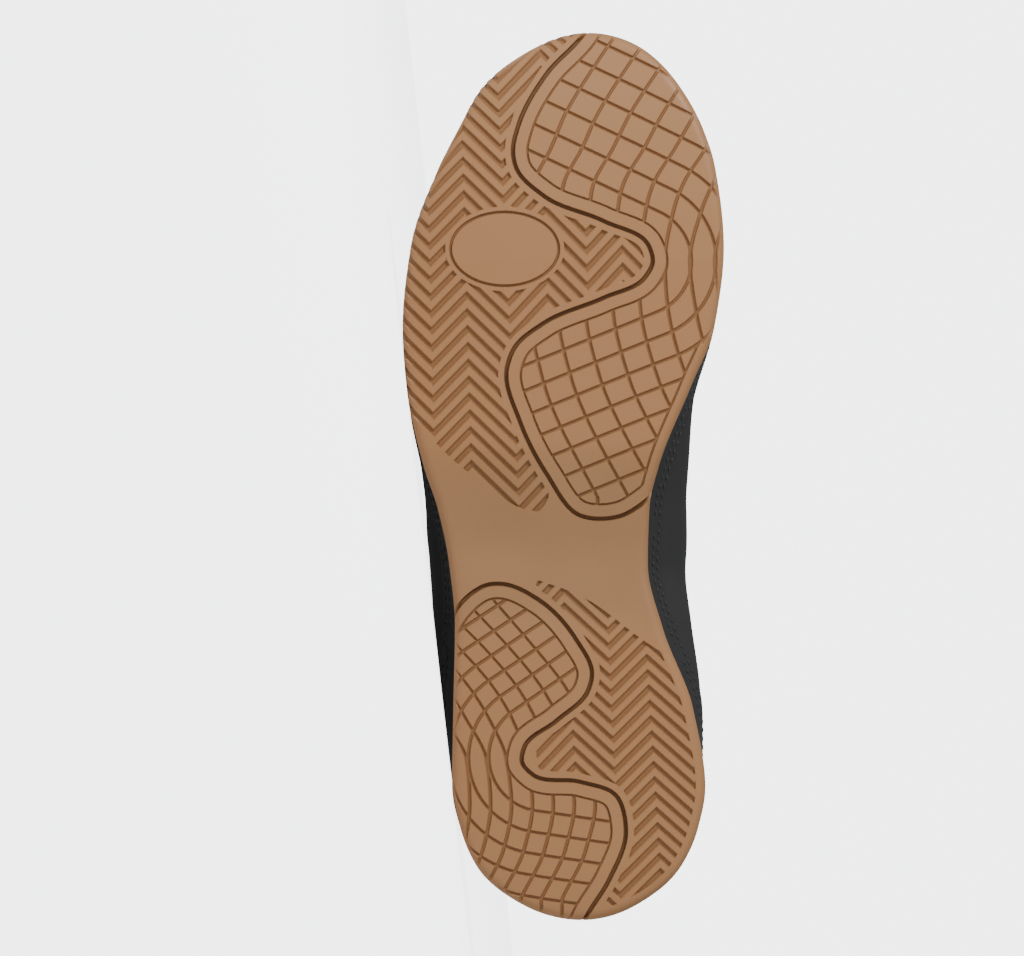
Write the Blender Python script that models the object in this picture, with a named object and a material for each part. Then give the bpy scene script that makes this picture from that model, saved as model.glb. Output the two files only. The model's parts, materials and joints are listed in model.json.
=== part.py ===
"""Indoor soccer shoe, right foot, lying on its outer side. Metres, +Z up.

The shoe is worked out standing on its sole: x from the heel to the toe, y towards the inner
side of the foot, z up. An empty then lays it down on the edge of its sole and its upper.
"""

import math

import bmesh
import bpy
import numpy as np
from mathutils import Matrix, Vector

for leftover in list(bpy.data.objects):
    bpy.data.objects.remove(leftover, do_unlink=True)

# Sizes of the last
SOLE_LENGTH = 0.290
BALL_WIDTH = 0.104
INSTEP_HEIGHT = 0.100
HEEL_HEIGHT = 0.078

# Outsole
TREAD_THICKNESS = 0.009
HEEL_LIFT = 0.004
CUP_WALL = 0.003
EDGE_RADIUS = 0.003
SIDE_STEP = 0.0008
SIDE_HEIGHT = 0.020
TOE_SPRING = 0.011
ARCH_RISE = 0.002
WAIST_HOLLOW = 0.0012
CHANNEL_WIDTH = 0.0018
CHANNEL_DEPTH = 0.002

# Upper, insole, tongue and laces
UPPER_WALL = 0.002
COLLAR_WALL = 0.0045
INSOLE_THICKNESS = 0.004
TONGUE_THICKNESS = 0.0045
TONGUE_CREST = 0.0022
LACE_WIDTH = 0.0050
LACE_THICKNESS = 0.0012
LACE_HOLE_RADIUS = 0.002
LACE_HOLE_INSET = 0.008
LACE_ROWS = 6
LACE_FRONT = 0.598
LACE_BACK = 0.420
TONGUE_RADIUS = 0.038
TONGUE_ROUND = 0.022
GAP = 0.0003

# Fineness of the facets
STATIONS = 44
ACROSS = 8

OUTER, INNER = -1, 1

# Outline of the sole: share of SOLE_LENGTH from the heel, then shares of BALL_WIDTH from the
# line through the middle of the waist to each side
OUTLINE = (
    # along, outer, inner
    (0.000, -0.037, 0.037),
    (0.016, 0.140, 0.203),
    (0.060, 0.290, 0.347),
    (0.105, 0.344, 0.403),
    (0.150, 0.369, 0.425),
    (0.240, 0.365, 0.385),
    (0.330, 0.360, 0.290),
    (0.400, 0.378, 0.245),
    (0.464, 0.415, 0.250),
    (0.509, 0.457, 0.278),
    (0.600, 0.512, 0.380),
    (0.666, 0.524, 0.453),
    (0.756, 0.499, 0.483),
    (0.845, 0.412, 0.457),
    (0.890, 0.349, 0.419),
    (0.935, 0.280, 0.353),
    (0.980, 0.124, 0.2375),
    (1.000, -0.060, 0.060),
)

# How far the widest line of the upper stands outside the outline of the sole, as shares of
# BALL_WIDTH, and how high it runs, as a share of the way from the rim to the top edge
BULGE = (
    # along, outer, inner, height
    (0.00, -0.034, -0.034, 0.30),
    (0.10, -0.014, -0.014, 0.30),
    (0.15, -0.004, -0.008, 0.32),
    (0.24, 0.036, 0.020, 0.36),
    (0.33, 0.064, 0.084, 0.38),
    (0.42, 0.050, 0.112, 0.36),
    (0.51, 0.008, 0.088, 0.32),
    (0.60, -0.004, 0.012, 0.28),
    (0.67, -0.008, -0.004, 0.26),
    (0.76, -0.012, -0.006, 0.26),
    (0.85, -0.020, -0.016, 0.28),
    (0.94, -0.030, -0.028, 0.30),
    (1.00, -0.034, -0.034, 0.30),
)

# Top edge of the upper: its height as a share of the last's height there, its half width as
# shares of BALL_WIDTH, and the lean of the wall at the edge, in degrees
TOP_EDGE = (
    # along, height, half width, lean
    (0.000, 1.000, 0.000, 90),
    (0.010, 0.996, 0.108, 90),
    (0.025, 0.988, 0.163, 90),
    (0.050, 0.960, 0.203, 90),
    (0.100, 0.865, 0.240, 89),
    (0.150, 0.765, 0.262, 88),
    (0.220, 0.670, 0.283, 87),
    (0.280, 0.665, 0.288, 85),
    (0.330, 0.735, 0.280, 78),
    (0.370, 0.840, 0.262, 60),
    (0.400, 0.915, 0.240, 40),
    (0.450, 0.865, 0.208, 31),
    (0.500, 0.810, 0.180, 25),
    (0.550, 0.765, 0.152, 20),
    (0.600, 0.728, 0.122, 15),
    (0.630, 0.708, 0.090, 9),
    (0.645, 0.700, 0.000, 0),
    (0.700, 0.645, 0.000, 0),
    (0.760, 0.585, 0.000, 0),
    (0.850, 0.520, 0.000, 0),
    (0.920, 0.475, 0.000, 0),
    (0.965, 0.425, 0.000, 0),
    (0.990, 0.378, 0.000, 0),
    (1.000, 0.340, 0.000, 0),
)
THROAT_END = 0.645
THROAT_TOP = 0.400

# Middle line of the instep over the throat, which the tongue and the laces follow, as shares
# of INSTEP_HEIGHT
INSTEP = (
    # along, height
    (0.290, 1.270),
    (0.330, 1.165),
    (0.365, 1.080),
    (0.400, 1.000),
    (0.450, 0.922),
    (0.500, 0.853),
    (0.550, 0.797),
    (0.600, 0.748),
    (0.645, 0.700),
    (0.700, 0.645),
    (0.760, 0.585),
)

# Half width of the tongue over its surface, as a share of BALL_WIDTH: wide under the facings,
# narrow between the two top corners of the throat, wide again above them
TONGUE = (
    # along, half width
    (0.325, 0.290),
    (0.350, 0.290),
    (0.370, 0.265),
    (0.388, 0.224),
    (0.405, 0.224),
    (0.430, 0.290),
    (0.500, 0.290),
    (0.600, 0.250),
    (0.700, 0.230),
)

# Where the middle of the upper runs, as a share of BALL_WIDTH towards the inner side
MIDDLE = (
    # along, across
    (0.00, 0.037),
    (0.15, 0.020),
    (0.30, 0.000),
    (0.42, 0.010),
    (0.55, 0.035),
    (0.70, 0.060),
    (0.85, 0.080),
    (1.00, 0.060),
)

# Underside of the sole over the floor, as shares of TOE_SPRING in front and ARCH_RISE behind
TOE_RISE = (
    # along, share
    (0.740, 0.00),
    (0.800, 0.07),
    (0.880, 0.32),
    (0.940, 0.62),
    (1.000, 1.00),
)
WAIST_RISE = (
    # along, share
    (0.000, 0.80),
    (0.030, 0.25),
    (0.070, 0.00),
    (0.300, 0.00),
    (0.360, 0.45),
    (0.420, 1.00),
    (0.480, 0.45),
    (0.530, 0.00),
)

# Height of the side wall over the underside, as a share of SIDE_HEIGHT
SIDE_WALL = (
    # along, share
    (0.00, 1.22),
    (0.12, 1.15),
    (0.26, 0.98),
    (0.42, 0.80),
    (0.56, 0.90),
    (0.74, 0.98),
    (0.88, 1.05),
    (1.00, 1.12),
)

# Heel curve of the upper, as shares of BALL_WIDTH backwards, over its height from rim to top
HEEL_CURVE = (
    # up, back
    (0.00, 0.000),
    (0.30, 0.034),
    (0.60, 0.020),
    (0.85, -0.008),
    (1.00, -0.006),
)

# The two channels that bound the pads of the tread, as shares of SOLE_LENGTH and BALL_WIDTH
FORE_CHANNEL = (
    # along, across
    (1.020, 0.070),
    (0.998, 0.044),
    (0.952, -0.072),
    (0.892, -0.162),
    (0.864, -0.178),
    (0.846, -0.169),
    (0.814, -0.084),
    (0.785, 0.106),
    (0.757, 0.247),
    (0.739, 0.259),
    (0.722, 0.235),
    (0.699, 0.106),
    (0.670, -0.084),
    (0.642, -0.175),
    (0.620, -0.197),
    (0.560, -0.156),
    (0.501, -0.072),
    (0.455, 0.031),
    (0.454, 0.156),
    (0.475, 0.253),
    (0.487, 0.320),
)
HEEL_CHANNEL = (
    # along, across
    (0.330, -0.430),
    (0.350, -0.353),
    (0.376, -0.269),
    (0.378, -0.216),
    (0.360, -0.097),
    (0.316, 0.019),
    (0.276, 0.069),
    (0.258, 0.056),
    (0.225, -0.041),
    (0.194, -0.144),
    (0.178, -0.150),
    (0.165, -0.119),
    (0.156, 0.034),
    (0.141, 0.144),
    (0.102, 0.175),
    (0.046, 0.122),
    (0.003, 0.050),
    (-0.020, 0.030),
)

# How the weight is spread, in kilograms for each cubic metre, to find how the shoe lies
WEIGHTS = {"outsole": 1120, "upper": 620, "insole": 220, "tongue": 260}


def through(places, values):
    """A smooth line through a table's rows that never overshoots them."""
    x, y = np.array(places, float), np.array(values, float)
    step = np.diff(x)
    rise = np.diff(y) / step
    slope = np.concatenate([rise[:1], np.zeros(len(x) - 2), rise[-1:]])
    for i in range(1, len(x) - 1):
        if rise[i - 1] * rise[i] > 0:
            before, after = 2 * step[i] + step[i - 1], step[i] + 2 * step[i - 1]
            slope[i] = (before + after) / (before / rise[i - 1] + after / rise[i])

    def at(place):
        i = int(np.clip(np.searchsorted(x, place) - 1, 0, len(step) - 1))
        t = (min(max(place, x[0]), x[-1]) - x[i]) / step[i]
        start = (1 + 2 * t) * (1 - t) ** 2 * y[i] + t * (1 - t) ** 2 * step[i] * slope[i]
        end = t * t * (3 - 2 * t) * y[i + 1] - t * t * (1 - t) * step[i] * slope[i + 1]
        return float(start + end)

    return at


def column(table, number):
    return through([row[0] for row in table], [row[number] for row in table])


def angle_of(along):
    return math.acos(1 - 2 * min(max(along, 0), 1))


def along_of(angle):
    return (1 - math.cos(angle)) / 2


def round_ended(table, number):
    """A column read over the angle, so that what it draws is round at the heel and the toe."""
    return through([angle_of(row[0]) for row in table], [row[number] for row in table])


def outline_side(side):
    """Half of the outline over the angle, carried on past both tips into the other half."""
    own, other = (1, 2) if side == OUTER else (2, 1)
    middle = [row for row in OUTLINE]
    angles = [angle_of(row[0]) for row in middle]
    values = [side * row[own] for row in middle]
    heel = (-angles[1], -side * middle[1][other])
    toe = (2 * math.pi - angles[-2], -side * middle[-2][other])
    return through([heel[0], *angles, toe[0]], [heel[1], *values, toe[1]])


outline_of = {side: outline_side(side) for side in (OUTER, INNER)}
bulge_of = {OUTER: column(BULGE, 1), INNER: column(BULGE, 2)}
bulge_height = column(BULGE, 3)
edge_height = round_ended(TOP_EDGE, 1)
edge_half = round_ended(TOP_EDGE, 2)
edge_lean = column(TOP_EDGE, 3)
instep_height = column(INSTEP, 1)
middle_of = column(MIDDLE, 1)
tongue_half = column(TONGUE, 1)
toe_rise = column(TOE_RISE, 1)
waist_rise = column(WAIST_RISE, 1)
side_wall = column(SIDE_WALL, 1)
heel_back = column(HEEL_CURVE, 1)


def plan(angle, side):
    return Vector((SOLE_LENGTH * along_of(angle), BALL_WIDTH * outline_of[side](angle)))


def outline_point(angle, side, inset):
    """A point of the sole's outline in plan, moved inwards by the inset."""
    small = 0.01
    course = (plan(angle + small, side) - plan(angle - small, side)).normalized()
    outward = Vector((course.y, -course.x)) * -side
    return plan(angle, side) - inset * outward


def underside(along):
    return TOE_SPRING * toe_rise(along) + ARCH_RISE * waist_rise(along)


def rim(along):
    return underside(along) + SIDE_HEIGHT * side_wall(along)


def cup_floor(along):
    heel = 0.5 + 0.5 * math.cos(math.pi * min(max((along - 0.25) / 0.3, 0), 1))
    flat = TOE_SPRING * toe_rise(along)
    return flat + TREAD_THICKNESS + HEEL_LIFT * heel


def last_height(along):
    """The height that the shares of the top edge are taken from, from the heel to the instep."""
    share = min(max((along - 0.1) / 0.3, 0), 1)
    share = share * share * (3 - 2 * share)
    return HEEL_HEIGHT + (INSTEP_HEIGHT - HEEL_HEIGHT) * share


def bezier(a, b, c, d, t):
    return (1 - t) ** 3 * a + 3 * t * (1 - t) ** 2 * b + 3 * t * t * (1 - t) * c + t**3 * d


UPPER_INSET = CUP_WALL + GAP


def side_line(angle, side):
    """One side of the upper at a station, in y and z, from the rim of the sole to its edge."""
    along = along_of(angle)
    foot = Vector((outline_point(angle, side, UPPER_INSET).y, rim(along)))
    middle = BALL_WIDTH * middle_of(along)
    top = Vector((
        middle + side * BALL_WIDTH * edge_half(angle),
        last_height(along) * edge_height(angle),
    ))
    ends = min(1.0, 3.5 * math.sin(angle))
    overhang = ends * (BALL_WIDTH * bulge_of[side](along) + UPPER_INSET)
    widest = Vector((
        foot.x + side * overhang,
        foot.y + bulge_height(along) * (top.y - foot.y),
    ))
    lean = math.radians(edge_lean(along))
    lower, higher = (widest - foot).length, (top - widest).length
    rising = Vector((0.35 * side if overhang > 0 else 0.0, 1)).normalized()
    leaving = Vector((side * math.cos(lean), -math.sin(lean)))
    below = [
        bezier(foot, foot + 0.35 * lower * rising, widest - Vector((0, 0.35 * lower)), widest, i / 6)
        for i in range(6)
    ]
    above = [
        bezier(widest, widest + Vector((0, 0.42 * higher)), top + 0.42 * higher * leaving, top, i / 18)
        for i in range(19)
    ]
    return below + above


def bridge_line(along):
    """The instep over the open throat, in y and z, from the outer edge to the inner edge."""
    angle = angle_of(along)
    middle = BALL_WIDTH * middle_of(along)
    half = BALL_WIDTH * edge_half(angle)
    height = last_height(along) * edge_height(angle)
    lean = math.radians(max(edge_lean(along), 4))
    crown = max(INSTEP_HEIGHT * instep_height(along) - height, 0.0)
    reach = crown / (0.75 * math.sin(lean))
    outer, inner = Vector((middle - half, height)), Vector((middle + half, height))
    over = Vector((math.cos(lean), math.sin(lean))) * reach
    back = Vector((-math.cos(lean), math.sin(lean))) * reach
    return [bezier(outer, outer + over, inner + back, inner, i / 24) for i in range(25)]


def station_x(along):
    return UPPER_INSET + along * (SOLE_LENGTH - 2 * UPPER_INSET)


def spaced(line, distances):
    """Points of a line at given distances along it."""
    line = np.array(line)
    run = np.concatenate([[0], np.cumsum(np.linalg.norm(np.diff(line, axis=0), axis=1))])
    return np.array([[np.interp(d, run, line[:, i]) for i in range(line.shape[1])] for d in distances])


def length_of(line):
    return float(np.linalg.norm(np.diff(np.array(line), axis=0), axis=1).sum())


def instep_surface(along, off_middle):
    """A point of the instep at a distance from its middle line, measured over the surface."""
    angle = angle_of(along)
    outer = [tuple(p) for p in side_line(angle, OUTER)]
    inner = [tuple(p) for p in side_line(angle, INNER)]
    bridge = [tuple(p) for p in bridge_line(along)] if along < THROAT_END else [outer[-1]]
    whole = outer[:-1] + bridge + inner[-2::-1]
    middle = length_of(outer) + length_of(bridge) / 2
    y, z = spaced(whole, [middle + off_middle])[0]
    return Vector((station_x(along), y, z))


def instep_point(along, off_middle, rise):
    """A point over (or, with a negative rise, under) the instep's outer surface."""
    across = instep_surface(along, off_middle + 0.002) - instep_surface(along, off_middle - 0.002)
    ahead = instep_surface(along + 0.008, off_middle) - instep_surface(along - 0.008, off_middle)
    normal = ahead.cross(across).normalized()
    return instep_surface(along, off_middle) + rise * normal


def throat_half(along):
    return length_of([tuple(p) for p in bridge_line(along)]) / 2


def material(name, colour, roughness):
    made = bpy.data.materials.new(name)
    made.use_nodes = True
    shader = made.node_tree.nodes["Principled BSDF"]
    shader.inputs["Base Color"].default_value = (*colour, 1)
    shader.inputs["Roughness"].default_value = roughness
    shader.inputs["Metallic"].default_value = 0.0
    return made


gum_rubber = material("gum_rubber", (0.40, 0.23, 0.12), 0.55)
black_leather = material("black_leather", (0.035, 0.035, 0.036), 0.5)
black_mesh = material("black_mesh", (0.03, 0.03, 0.031), 0.8)
lace_cord = material("lace_cord", (0.03, 0.03, 0.03), 0.9)
sock_foam = material("sock_foam", (0.05, 0.05, 0.052), 0.95)

shoe = bpy.data.objects.new("shoe", None)
bpy.context.collection.objects.link(shoe)


def add(name, bm, finish, closed=True):
    if closed:
        bmesh.ops.recalc_face_normals(bm, faces=bm.faces)
    mesh = bpy.data.meshes.new(name)
    bm.to_mesh(mesh)
    bm.free()
    mesh.materials.append(finish)
    mesh.shade_smooth()
    mesh.set_sharp_from_angle(angle=math.radians(35))
    piece = bpy.data.objects.new(name, mesh)
    piece.parent = shoe
    bpy.context.collection.objects.link(piece)
    return piece


def hide_tool(piece):
    piece.hide_render = True
    piece.display_type = "WIRE"


def cut(piece, tool, operation="DIFFERENCE"):
    hide_tool(tool)
    change = piece.modifiers.new(tool.name, "BOOLEAN")
    change.operation = operation
    change.solver = "EXACT"
    change.object = tool


ANGLES = [math.pi * k / STATIONS for k in range(STATIONS + 1)]


def ring(bm, inset, height):
    """A loop around the sole: the outer side from heel to toe, then the inner side back."""
    outer = [(angle, OUTER) for angle in ANGLES]
    inner = [(angle, INNER) for angle in reversed(ANGLES[1:-1])]
    return [
        bm.verts.new((*outline_point(angle, side, inset), height(along_of(angle))))
        for angle, side in outer + inner
    ]


def wall(bm, lower, upper):
    for i in range(len(lower)):
        after = (i + 1) % len(lower)
        bm.faces.new((lower[i], lower[after], upper[after], upper[i]))


def cover(bm, loop, hollow):
    """Closes a loop around the sole with rows across it, each raised at its middle."""
    rows = [[loop[0]]]
    for k in range(1, STATIONS):
        left, right = loop[k], loop[2 * STATIONS - k]
        rise = hollow(along_of(ANGLES[k]))
        between = []
        for j in range(1, ACROSS):
            share = j / ACROSS
            place = left.co.lerp(right.co, share)
            place.z += rise * 4 * share * (1 - share)
            between.append(bm.verts.new(place))
        rows.append([left, *between, right])
    rows.append([loop[STATIONS]])
    for row, after in zip(rows, rows[1:]):
        for j in range(ACROSS):
            corners = {
                row[min(j, len(row) - 1)]: None,
                after[min(j, len(after) - 1)]: None,
                after[min(j + 1, len(after) - 1)]: None,
                row[min(j + 1, len(row) - 1)]: None,
            }
            bm.faces.new(list(corners))


def grid_solid(top, bottom):
    """A closed sheet between two grids of points."""
    bm = bmesh.new()
    upper = [[bm.verts.new(p) for p in row] for row in top]
    lower = [[bm.verts.new(p) for p in row] for row in bottom]
    last_row, last_column = len(top) - 1, len(top[0]) - 1
    for i in range(last_row):
        for j in range(last_column):
            for sheet in (upper, lower):
                bm.faces.new((sheet[i][j], sheet[i + 1][j], sheet[i + 1][j + 1], sheet[i][j + 1]))
        for j in (0, last_column):
            bm.faces.new((upper[i][j], upper[i + 1][j], lower[i + 1][j], lower[i][j]))
    for j in range(last_column):
        for i in (0, last_row):
            bm.faces.new((upper[i][j], upper[i][j + 1], lower[i][j + 1], lower[i][j]))
    return bm


def channel(name, table):
    """A curved blade that cuts a channel of even depth into the underside."""
    knots = np.array(table) * (SOLE_LENGTH, BALL_WIDTH)
    run = np.concatenate([[0], np.cumsum(np.linalg.norm(np.diff(knots, axis=0), axis=1))])
    x_of, y_of = through(run, knots[:, 0]), through(run, knots[:, 1])
    count = 3 * len(table)
    path = np.array([(x_of(d), y_of(d)) for d in np.linspace(0, run[-1], count)])
    course = np.gradient(path, axis=0)
    course /= np.linalg.norm(course, axis=1)[:, None]
    side = np.stack([-course[:, 1], course[:, 0]], axis=1) * CHANNEL_WIDTH / 2
    left, right = path + side, path - side
    depth = [underside(p[0] / SOLE_LENGTH) + CHANNEL_DEPTH for p in path]
    top = [[(*a, z), (*b, z)] for a, b, z in zip(left, right, depth)]
    bottom = [[(*a, -0.01), (*b, -0.01)] for a, b in zip(left, right)]
    return add(name, grid_solid(top, bottom), gum_rubber)


def build_outsole():
    bm = bmesh.new()
    rings = []
    for turn in (0, 30, 60, 90):
        inset = EDGE_RADIUS * (1 - math.sin(math.radians(turn)))
        lift = EDGE_RADIUS * (1 - math.cos(math.radians(turn)))
        rings.append(ring(bm, inset, lambda s: underside(s) + lift))
    ledge = 0.6
    low = ring(bm, 0, lambda s: underside(s) + ledge * (rim(s) - underside(s)))
    high = ring(bm, SIDE_STEP, lambda s: underside(s) + ledge * (rim(s) - underside(s)) + SIDE_STEP / 2)
    shoulder = ring(bm, SIDE_STEP, lambda s: rim(s) - SIDE_STEP)
    lip = ring(bm, 2 * SIDE_STEP, rim)
    mouth = ring(bm, CUP_WALL, rim)
    floor = ring(bm, CUP_WALL, cup_floor)
    rings += [low, high, shoulder, lip, mouth, floor]
    for lower, upper in zip(rings, rings[1:]):
        wall(bm, lower, upper)
    cover(bm, rings[0], lambda s: WAIST_HOLLOW * waist_rise(s) if 0.3 < s < 0.53 else 0)
    cover(bm, floor, lambda s: 0)
    piece = add("outsole", bm, gum_rubber)
    cut(piece, channel("fore_channel", FORE_CHANNEL))
    cut(piece, channel("heel_channel", HEEL_CHANNEL))
    return piece


def build_insole():
    bm = bmesh.new()
    inset = UPPER_INSET + UPPER_WALL + 2 * GAP
    base = ring(bm, inset, lambda s: cup_floor(s) + GAP)
    side = ring(bm, inset, lambda s: cup_floor(s) + GAP + 1.3 * INSOLE_THICKNESS)
    top = ring(bm, inset + 2 * INSOLE_THICKNESS, lambda s: cup_floor(s) + GAP + INSOLE_THICKNESS)
    wall(bm, base, side)
    wall(bm, side, top)
    cover(bm, base, lambda s: 0)
    cover(bm, top, lambda s: 0)
    return add("insole", bm, sock_foam)


BELOW, ABOVE = 3, 7


def upper_stations():
    """The stations of the upper, with one on the front end of the throat."""
    throat = angle_of(THROAT_END)
    nearest = min(range(len(ANGLES)), key=lambda k: abs(ANGLES[k] - throat))
    angles = list(ANGLES)
    angles[nearest] = throat
    return angles


def upper_column(angle, side):
    """The points of one side at a station, from its foot in the cup to its top edge."""
    along = along_of(angle)
    foot = outline_point(angle, side, UPPER_INSET)
    line = [tuple(p) for p in side_line(angle, side)]
    total = length_of(line)
    rows = spaced(line, [total * j / (BELOW + ABOVE) for j in range(BELOW + ABOVE + 1)])
    if angle == ANGLES[-1]:
        rows = [rows[0]] * len(rows)
    low, high = rim(along), last_height(along) * edge_height(angle)
    points = [Vector((foot.x, foot.y, cup_floor(along) + GAP))]
    for j, (y, z) in enumerate(rows):
        share = j / (BELOW + ABOVE)
        x = foot.x + (station_x(along) - foot.x) * share
        near_heel = max(0.0, 1 - along / 0.28) ** 2
        rise = (z - low) / max(high - low, 0.001)
        points.append(Vector((x - BALL_WIDTH * heel_back(rise) * near_heel, y, z)))
    return points


def build_upper():
    bm = bmesh.new()
    angles = upper_stations()
    padding = {}
    for side in (OUTER, INNER):
        columns = []
        for angle in angles:
            along = along_of(angle)
            points = upper_column(angle, side)
            made = [bm.verts.new(p) for p in points]
            padded = min(max((THROAT_TOP - 0.05 - along) / 0.06, 0.0), 1.0)
            for j, vert in enumerate(made):
                share = max(0.0, (j - 6) / (BELOW + ABOVE + 1 - 6)) * padded
                padding[tuple(round(c, 6) for c in points[j])] = share
            columns.append(made)
        for k in range(len(columns) - 1):
            for j in range(len(columns[0]) - 1):
                corners = [columns[k][j], columns[k + 1][j], columns[k + 1][j + 1], columns[k][j + 1]]
                bm.faces.new(corners if side == OUTER else corners[::-1])
    bmesh.ops.remove_doubles(bm, verts=bm.verts, dist=1e-5)
    piece = add("upper", bm, black_leather, closed=False)
    group = piece.vertex_groups.new(name="padding")
    least = UPPER_WALL / COLLAR_WALL
    for vert in piece.data.vertices:
        share = padding.get(tuple(round(c, 6) for c in vert.co), 0.0)
        group.add([vert.index], least + (1 - least) * share, "REPLACE")
    shell = piece.modifiers.new("wall", "SOLIDIFY")
    shell.thickness = COLLAR_WALL
    shell.offset = -1
    shell.use_even_offset = True
    shell.vertex_group = "padding"
    return piece


def tongue_depth(along, off_middle):
    """How far the tongue's top lies under the instep's surface: least along its middle."""
    deepest = UPPER_WALL + LACE_THICKNESS + 3 * GAP
    if along > THROAT_END:
        share = min((along - THROAT_END) / 0.03, 1)
        return deepest + share * (UPPER_WALL + 2 * GAP - deepest)
    out = abs(off_middle) / throat_half(max(along, THROAT_TOP))
    share = min(max((0.85 - out) / 0.4, 0), 1)
    share = share * share * (3 - 2 * share)
    return deepest + share * (TONGUE_CREST - deepest)


def tongue_point(along, off_middle, rise):
    """A point of the tongue: under the facings it follows the upper, above them it stands free."""
    depth = tongue_depth(along, off_middle)
    covered = instep_point(max(along, THROAT_TOP - 0.02), off_middle, rise - depth)
    free_share = min(max((THROAT_TOP - along) / 0.02, 0), 1)
    if free_share == 0:
        return covered
    lean = math.radians(42)
    bow = off_middle**2 / (2 * TONGUE_RADIUS)
    free = Vector((
        station_x(along),
        BALL_WIDTH * middle_of(along) + off_middle,
        INSTEP_HEIGHT * instep_height(along) - bow,
    ))
    free += (rise - depth) * Vector((math.sin(lean), 0, math.cos(lean)))
    return covered.lerp(free, free_share * free_share * (3 - 2 * free_share))


def build_tongue():
    start, end = 0.70, 0.325
    rows, columns = 22, 10
    top, bottom = [], []
    for i in range(rows + 1):
        share = i / rows
        row_top, row_bottom = [], []
        for j in range(columns + 1):
            off = -1 + 2 * j / columns
            along = start + (end - start) * share + TONGUE_ROUND * share**4 * off**4
            reach = off * BALL_WIDTH * tongue_half(along)
            row_top.append(tongue_point(along, reach, 0))
            row_bottom.append(tongue_point(along, reach, -TONGUE_THICKNESS))
        top.append(row_top)
        bottom.append(row_bottom)
    return add("tongue", grid_solid(top, bottom), black_mesh)


def strap(name, path, normals):
    """A flat lace along a path, lying square to the surface under it."""
    top, bottom = [], []
    for i, (place, normal) in enumerate(zip(path, normals)):
        course = path[min(i + 1, len(path) - 1)] - path[max(i - 1, 0)]
        side = normal.cross(course).normalized() * LACE_WIDTH / 2
        lift = normal * LACE_THICKNESS / 2
        top.append([place - side + lift, place + side + lift])
        bottom.append([place - side - lift, place + side - lift])
    return add(name, grid_solid(top, bottom), lace_cord)


def lace_row(row):
    """The station of a pair of lace holes, counted from the front of the throat."""
    return LACE_FRONT + (LACE_BACK - LACE_FRONT) * row / (LACE_ROWS - 1)


def hole_off(along):
    return throat_half(along) + LACE_HOLE_INSET


def instep_normal(along, off_middle):
    return (instep_point(along, off_middle, 0.001) - instep_surface(along, off_middle)).normalized()


def lace_path(start_row, end_row, side, lift):
    """A lace from the hole of one row over the throat to the far edge, or from edge to edge."""
    first, last = lace_row(start_row), lace_row(end_row)
    bar = start_row == end_row
    clear = 2.5 * LACE_THICKNESS if bar else LACE_THICKNESS
    begin = side * (throat_half(first) - clear if bar else hole_off(first) + LACE_HOLE_RADIUS)
    finish = -side * (throat_half(last) - clear)
    over = LACE_THICKNESS / 2 + 2 * GAP
    path, normals = [], []
    steps = 14
    for i in range(steps + 1):
        share = i / steps
        along = first + (last - first) * share + (LACE_WIDTH / 6 / SOLE_LENGTH if bar else 0)
        off = begin + (finish - begin) * share
        out = abs(off) / throat_half(along)
        rise = over - tongue_depth(along, off)
        if side * off > 0 and not bar:
            climb = math.sin(math.pi / 2 * min(max((out - 0.45) / 0.5, 0), 1))
            rise = over - TONGUE_CREST * (1 - climb)
        rise += lift * math.sin(math.pi * share) ** 2
        path.append(instep_point(along, off, rise))
        normals.append(instep_normal(along, off))
    return path, normals


def build_laces():
    strap("lace_bar", *lace_path(0, 0, OUTER, 0))
    for row in range(LACE_ROWS - 1):
        under = strap(f"lace_crossing_{row + 1}", *lace_path(row, row + 1, INNER, 0))
        over = strap(f"lace_over_{row + 1}", *lace_path(row, row + 1, OUTER, 0.6 * LACE_THICKNESS))
        cut(under, over, "UNION")


def punch_lace_holes(upper):
    """Holes through both facings, cut by one tool of short round punches."""
    bm = bmesh.new()
    for row in range(LACE_ROWS):
        along = lace_row(row)
        for side in (OUTER, INNER):
            off = side * hole_off(along)
            turn = instep_normal(along, off).to_track_quat("Z", "Y").to_matrix().to_4x4()
            place = Matrix.Translation(instep_surface(along, off)) @ turn
            bmesh.ops.create_cone(
                bm, cap_ends=True, segments=10, radius1=LACE_HOLE_RADIUS,
                radius2=LACE_HOLE_RADIUS, depth=4 * UPPER_WALL, matrix=place,
            )
    cut(upper, add("lace_holes", bm, black_leather))


def shape_of(piece):
    """The corners and the triangles of a piece with its modifiers."""
    whole = piece.evaluated_get(bpy.context.evaluated_depsgraph_get()).to_mesh()
    whole.calc_loop_triangles()
    corners = np.array([tuple(v.co) for v in whole.vertices])
    return corners, np.array([tuple(t.vertices) for t in whole.loop_triangles])


def weight_of(piece, density):
    corners, triangles = shape_of(piece)
    a, b, c = (corners[triangles[:, i]] for i in range(3))
    volumes = np.einsum("ij,ij->i", a, np.cross(b, c)) / 6
    return density * volumes.sum(), density * (volumes[:, None] * (a + b + c) / 4).sum(axis=0)


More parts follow.
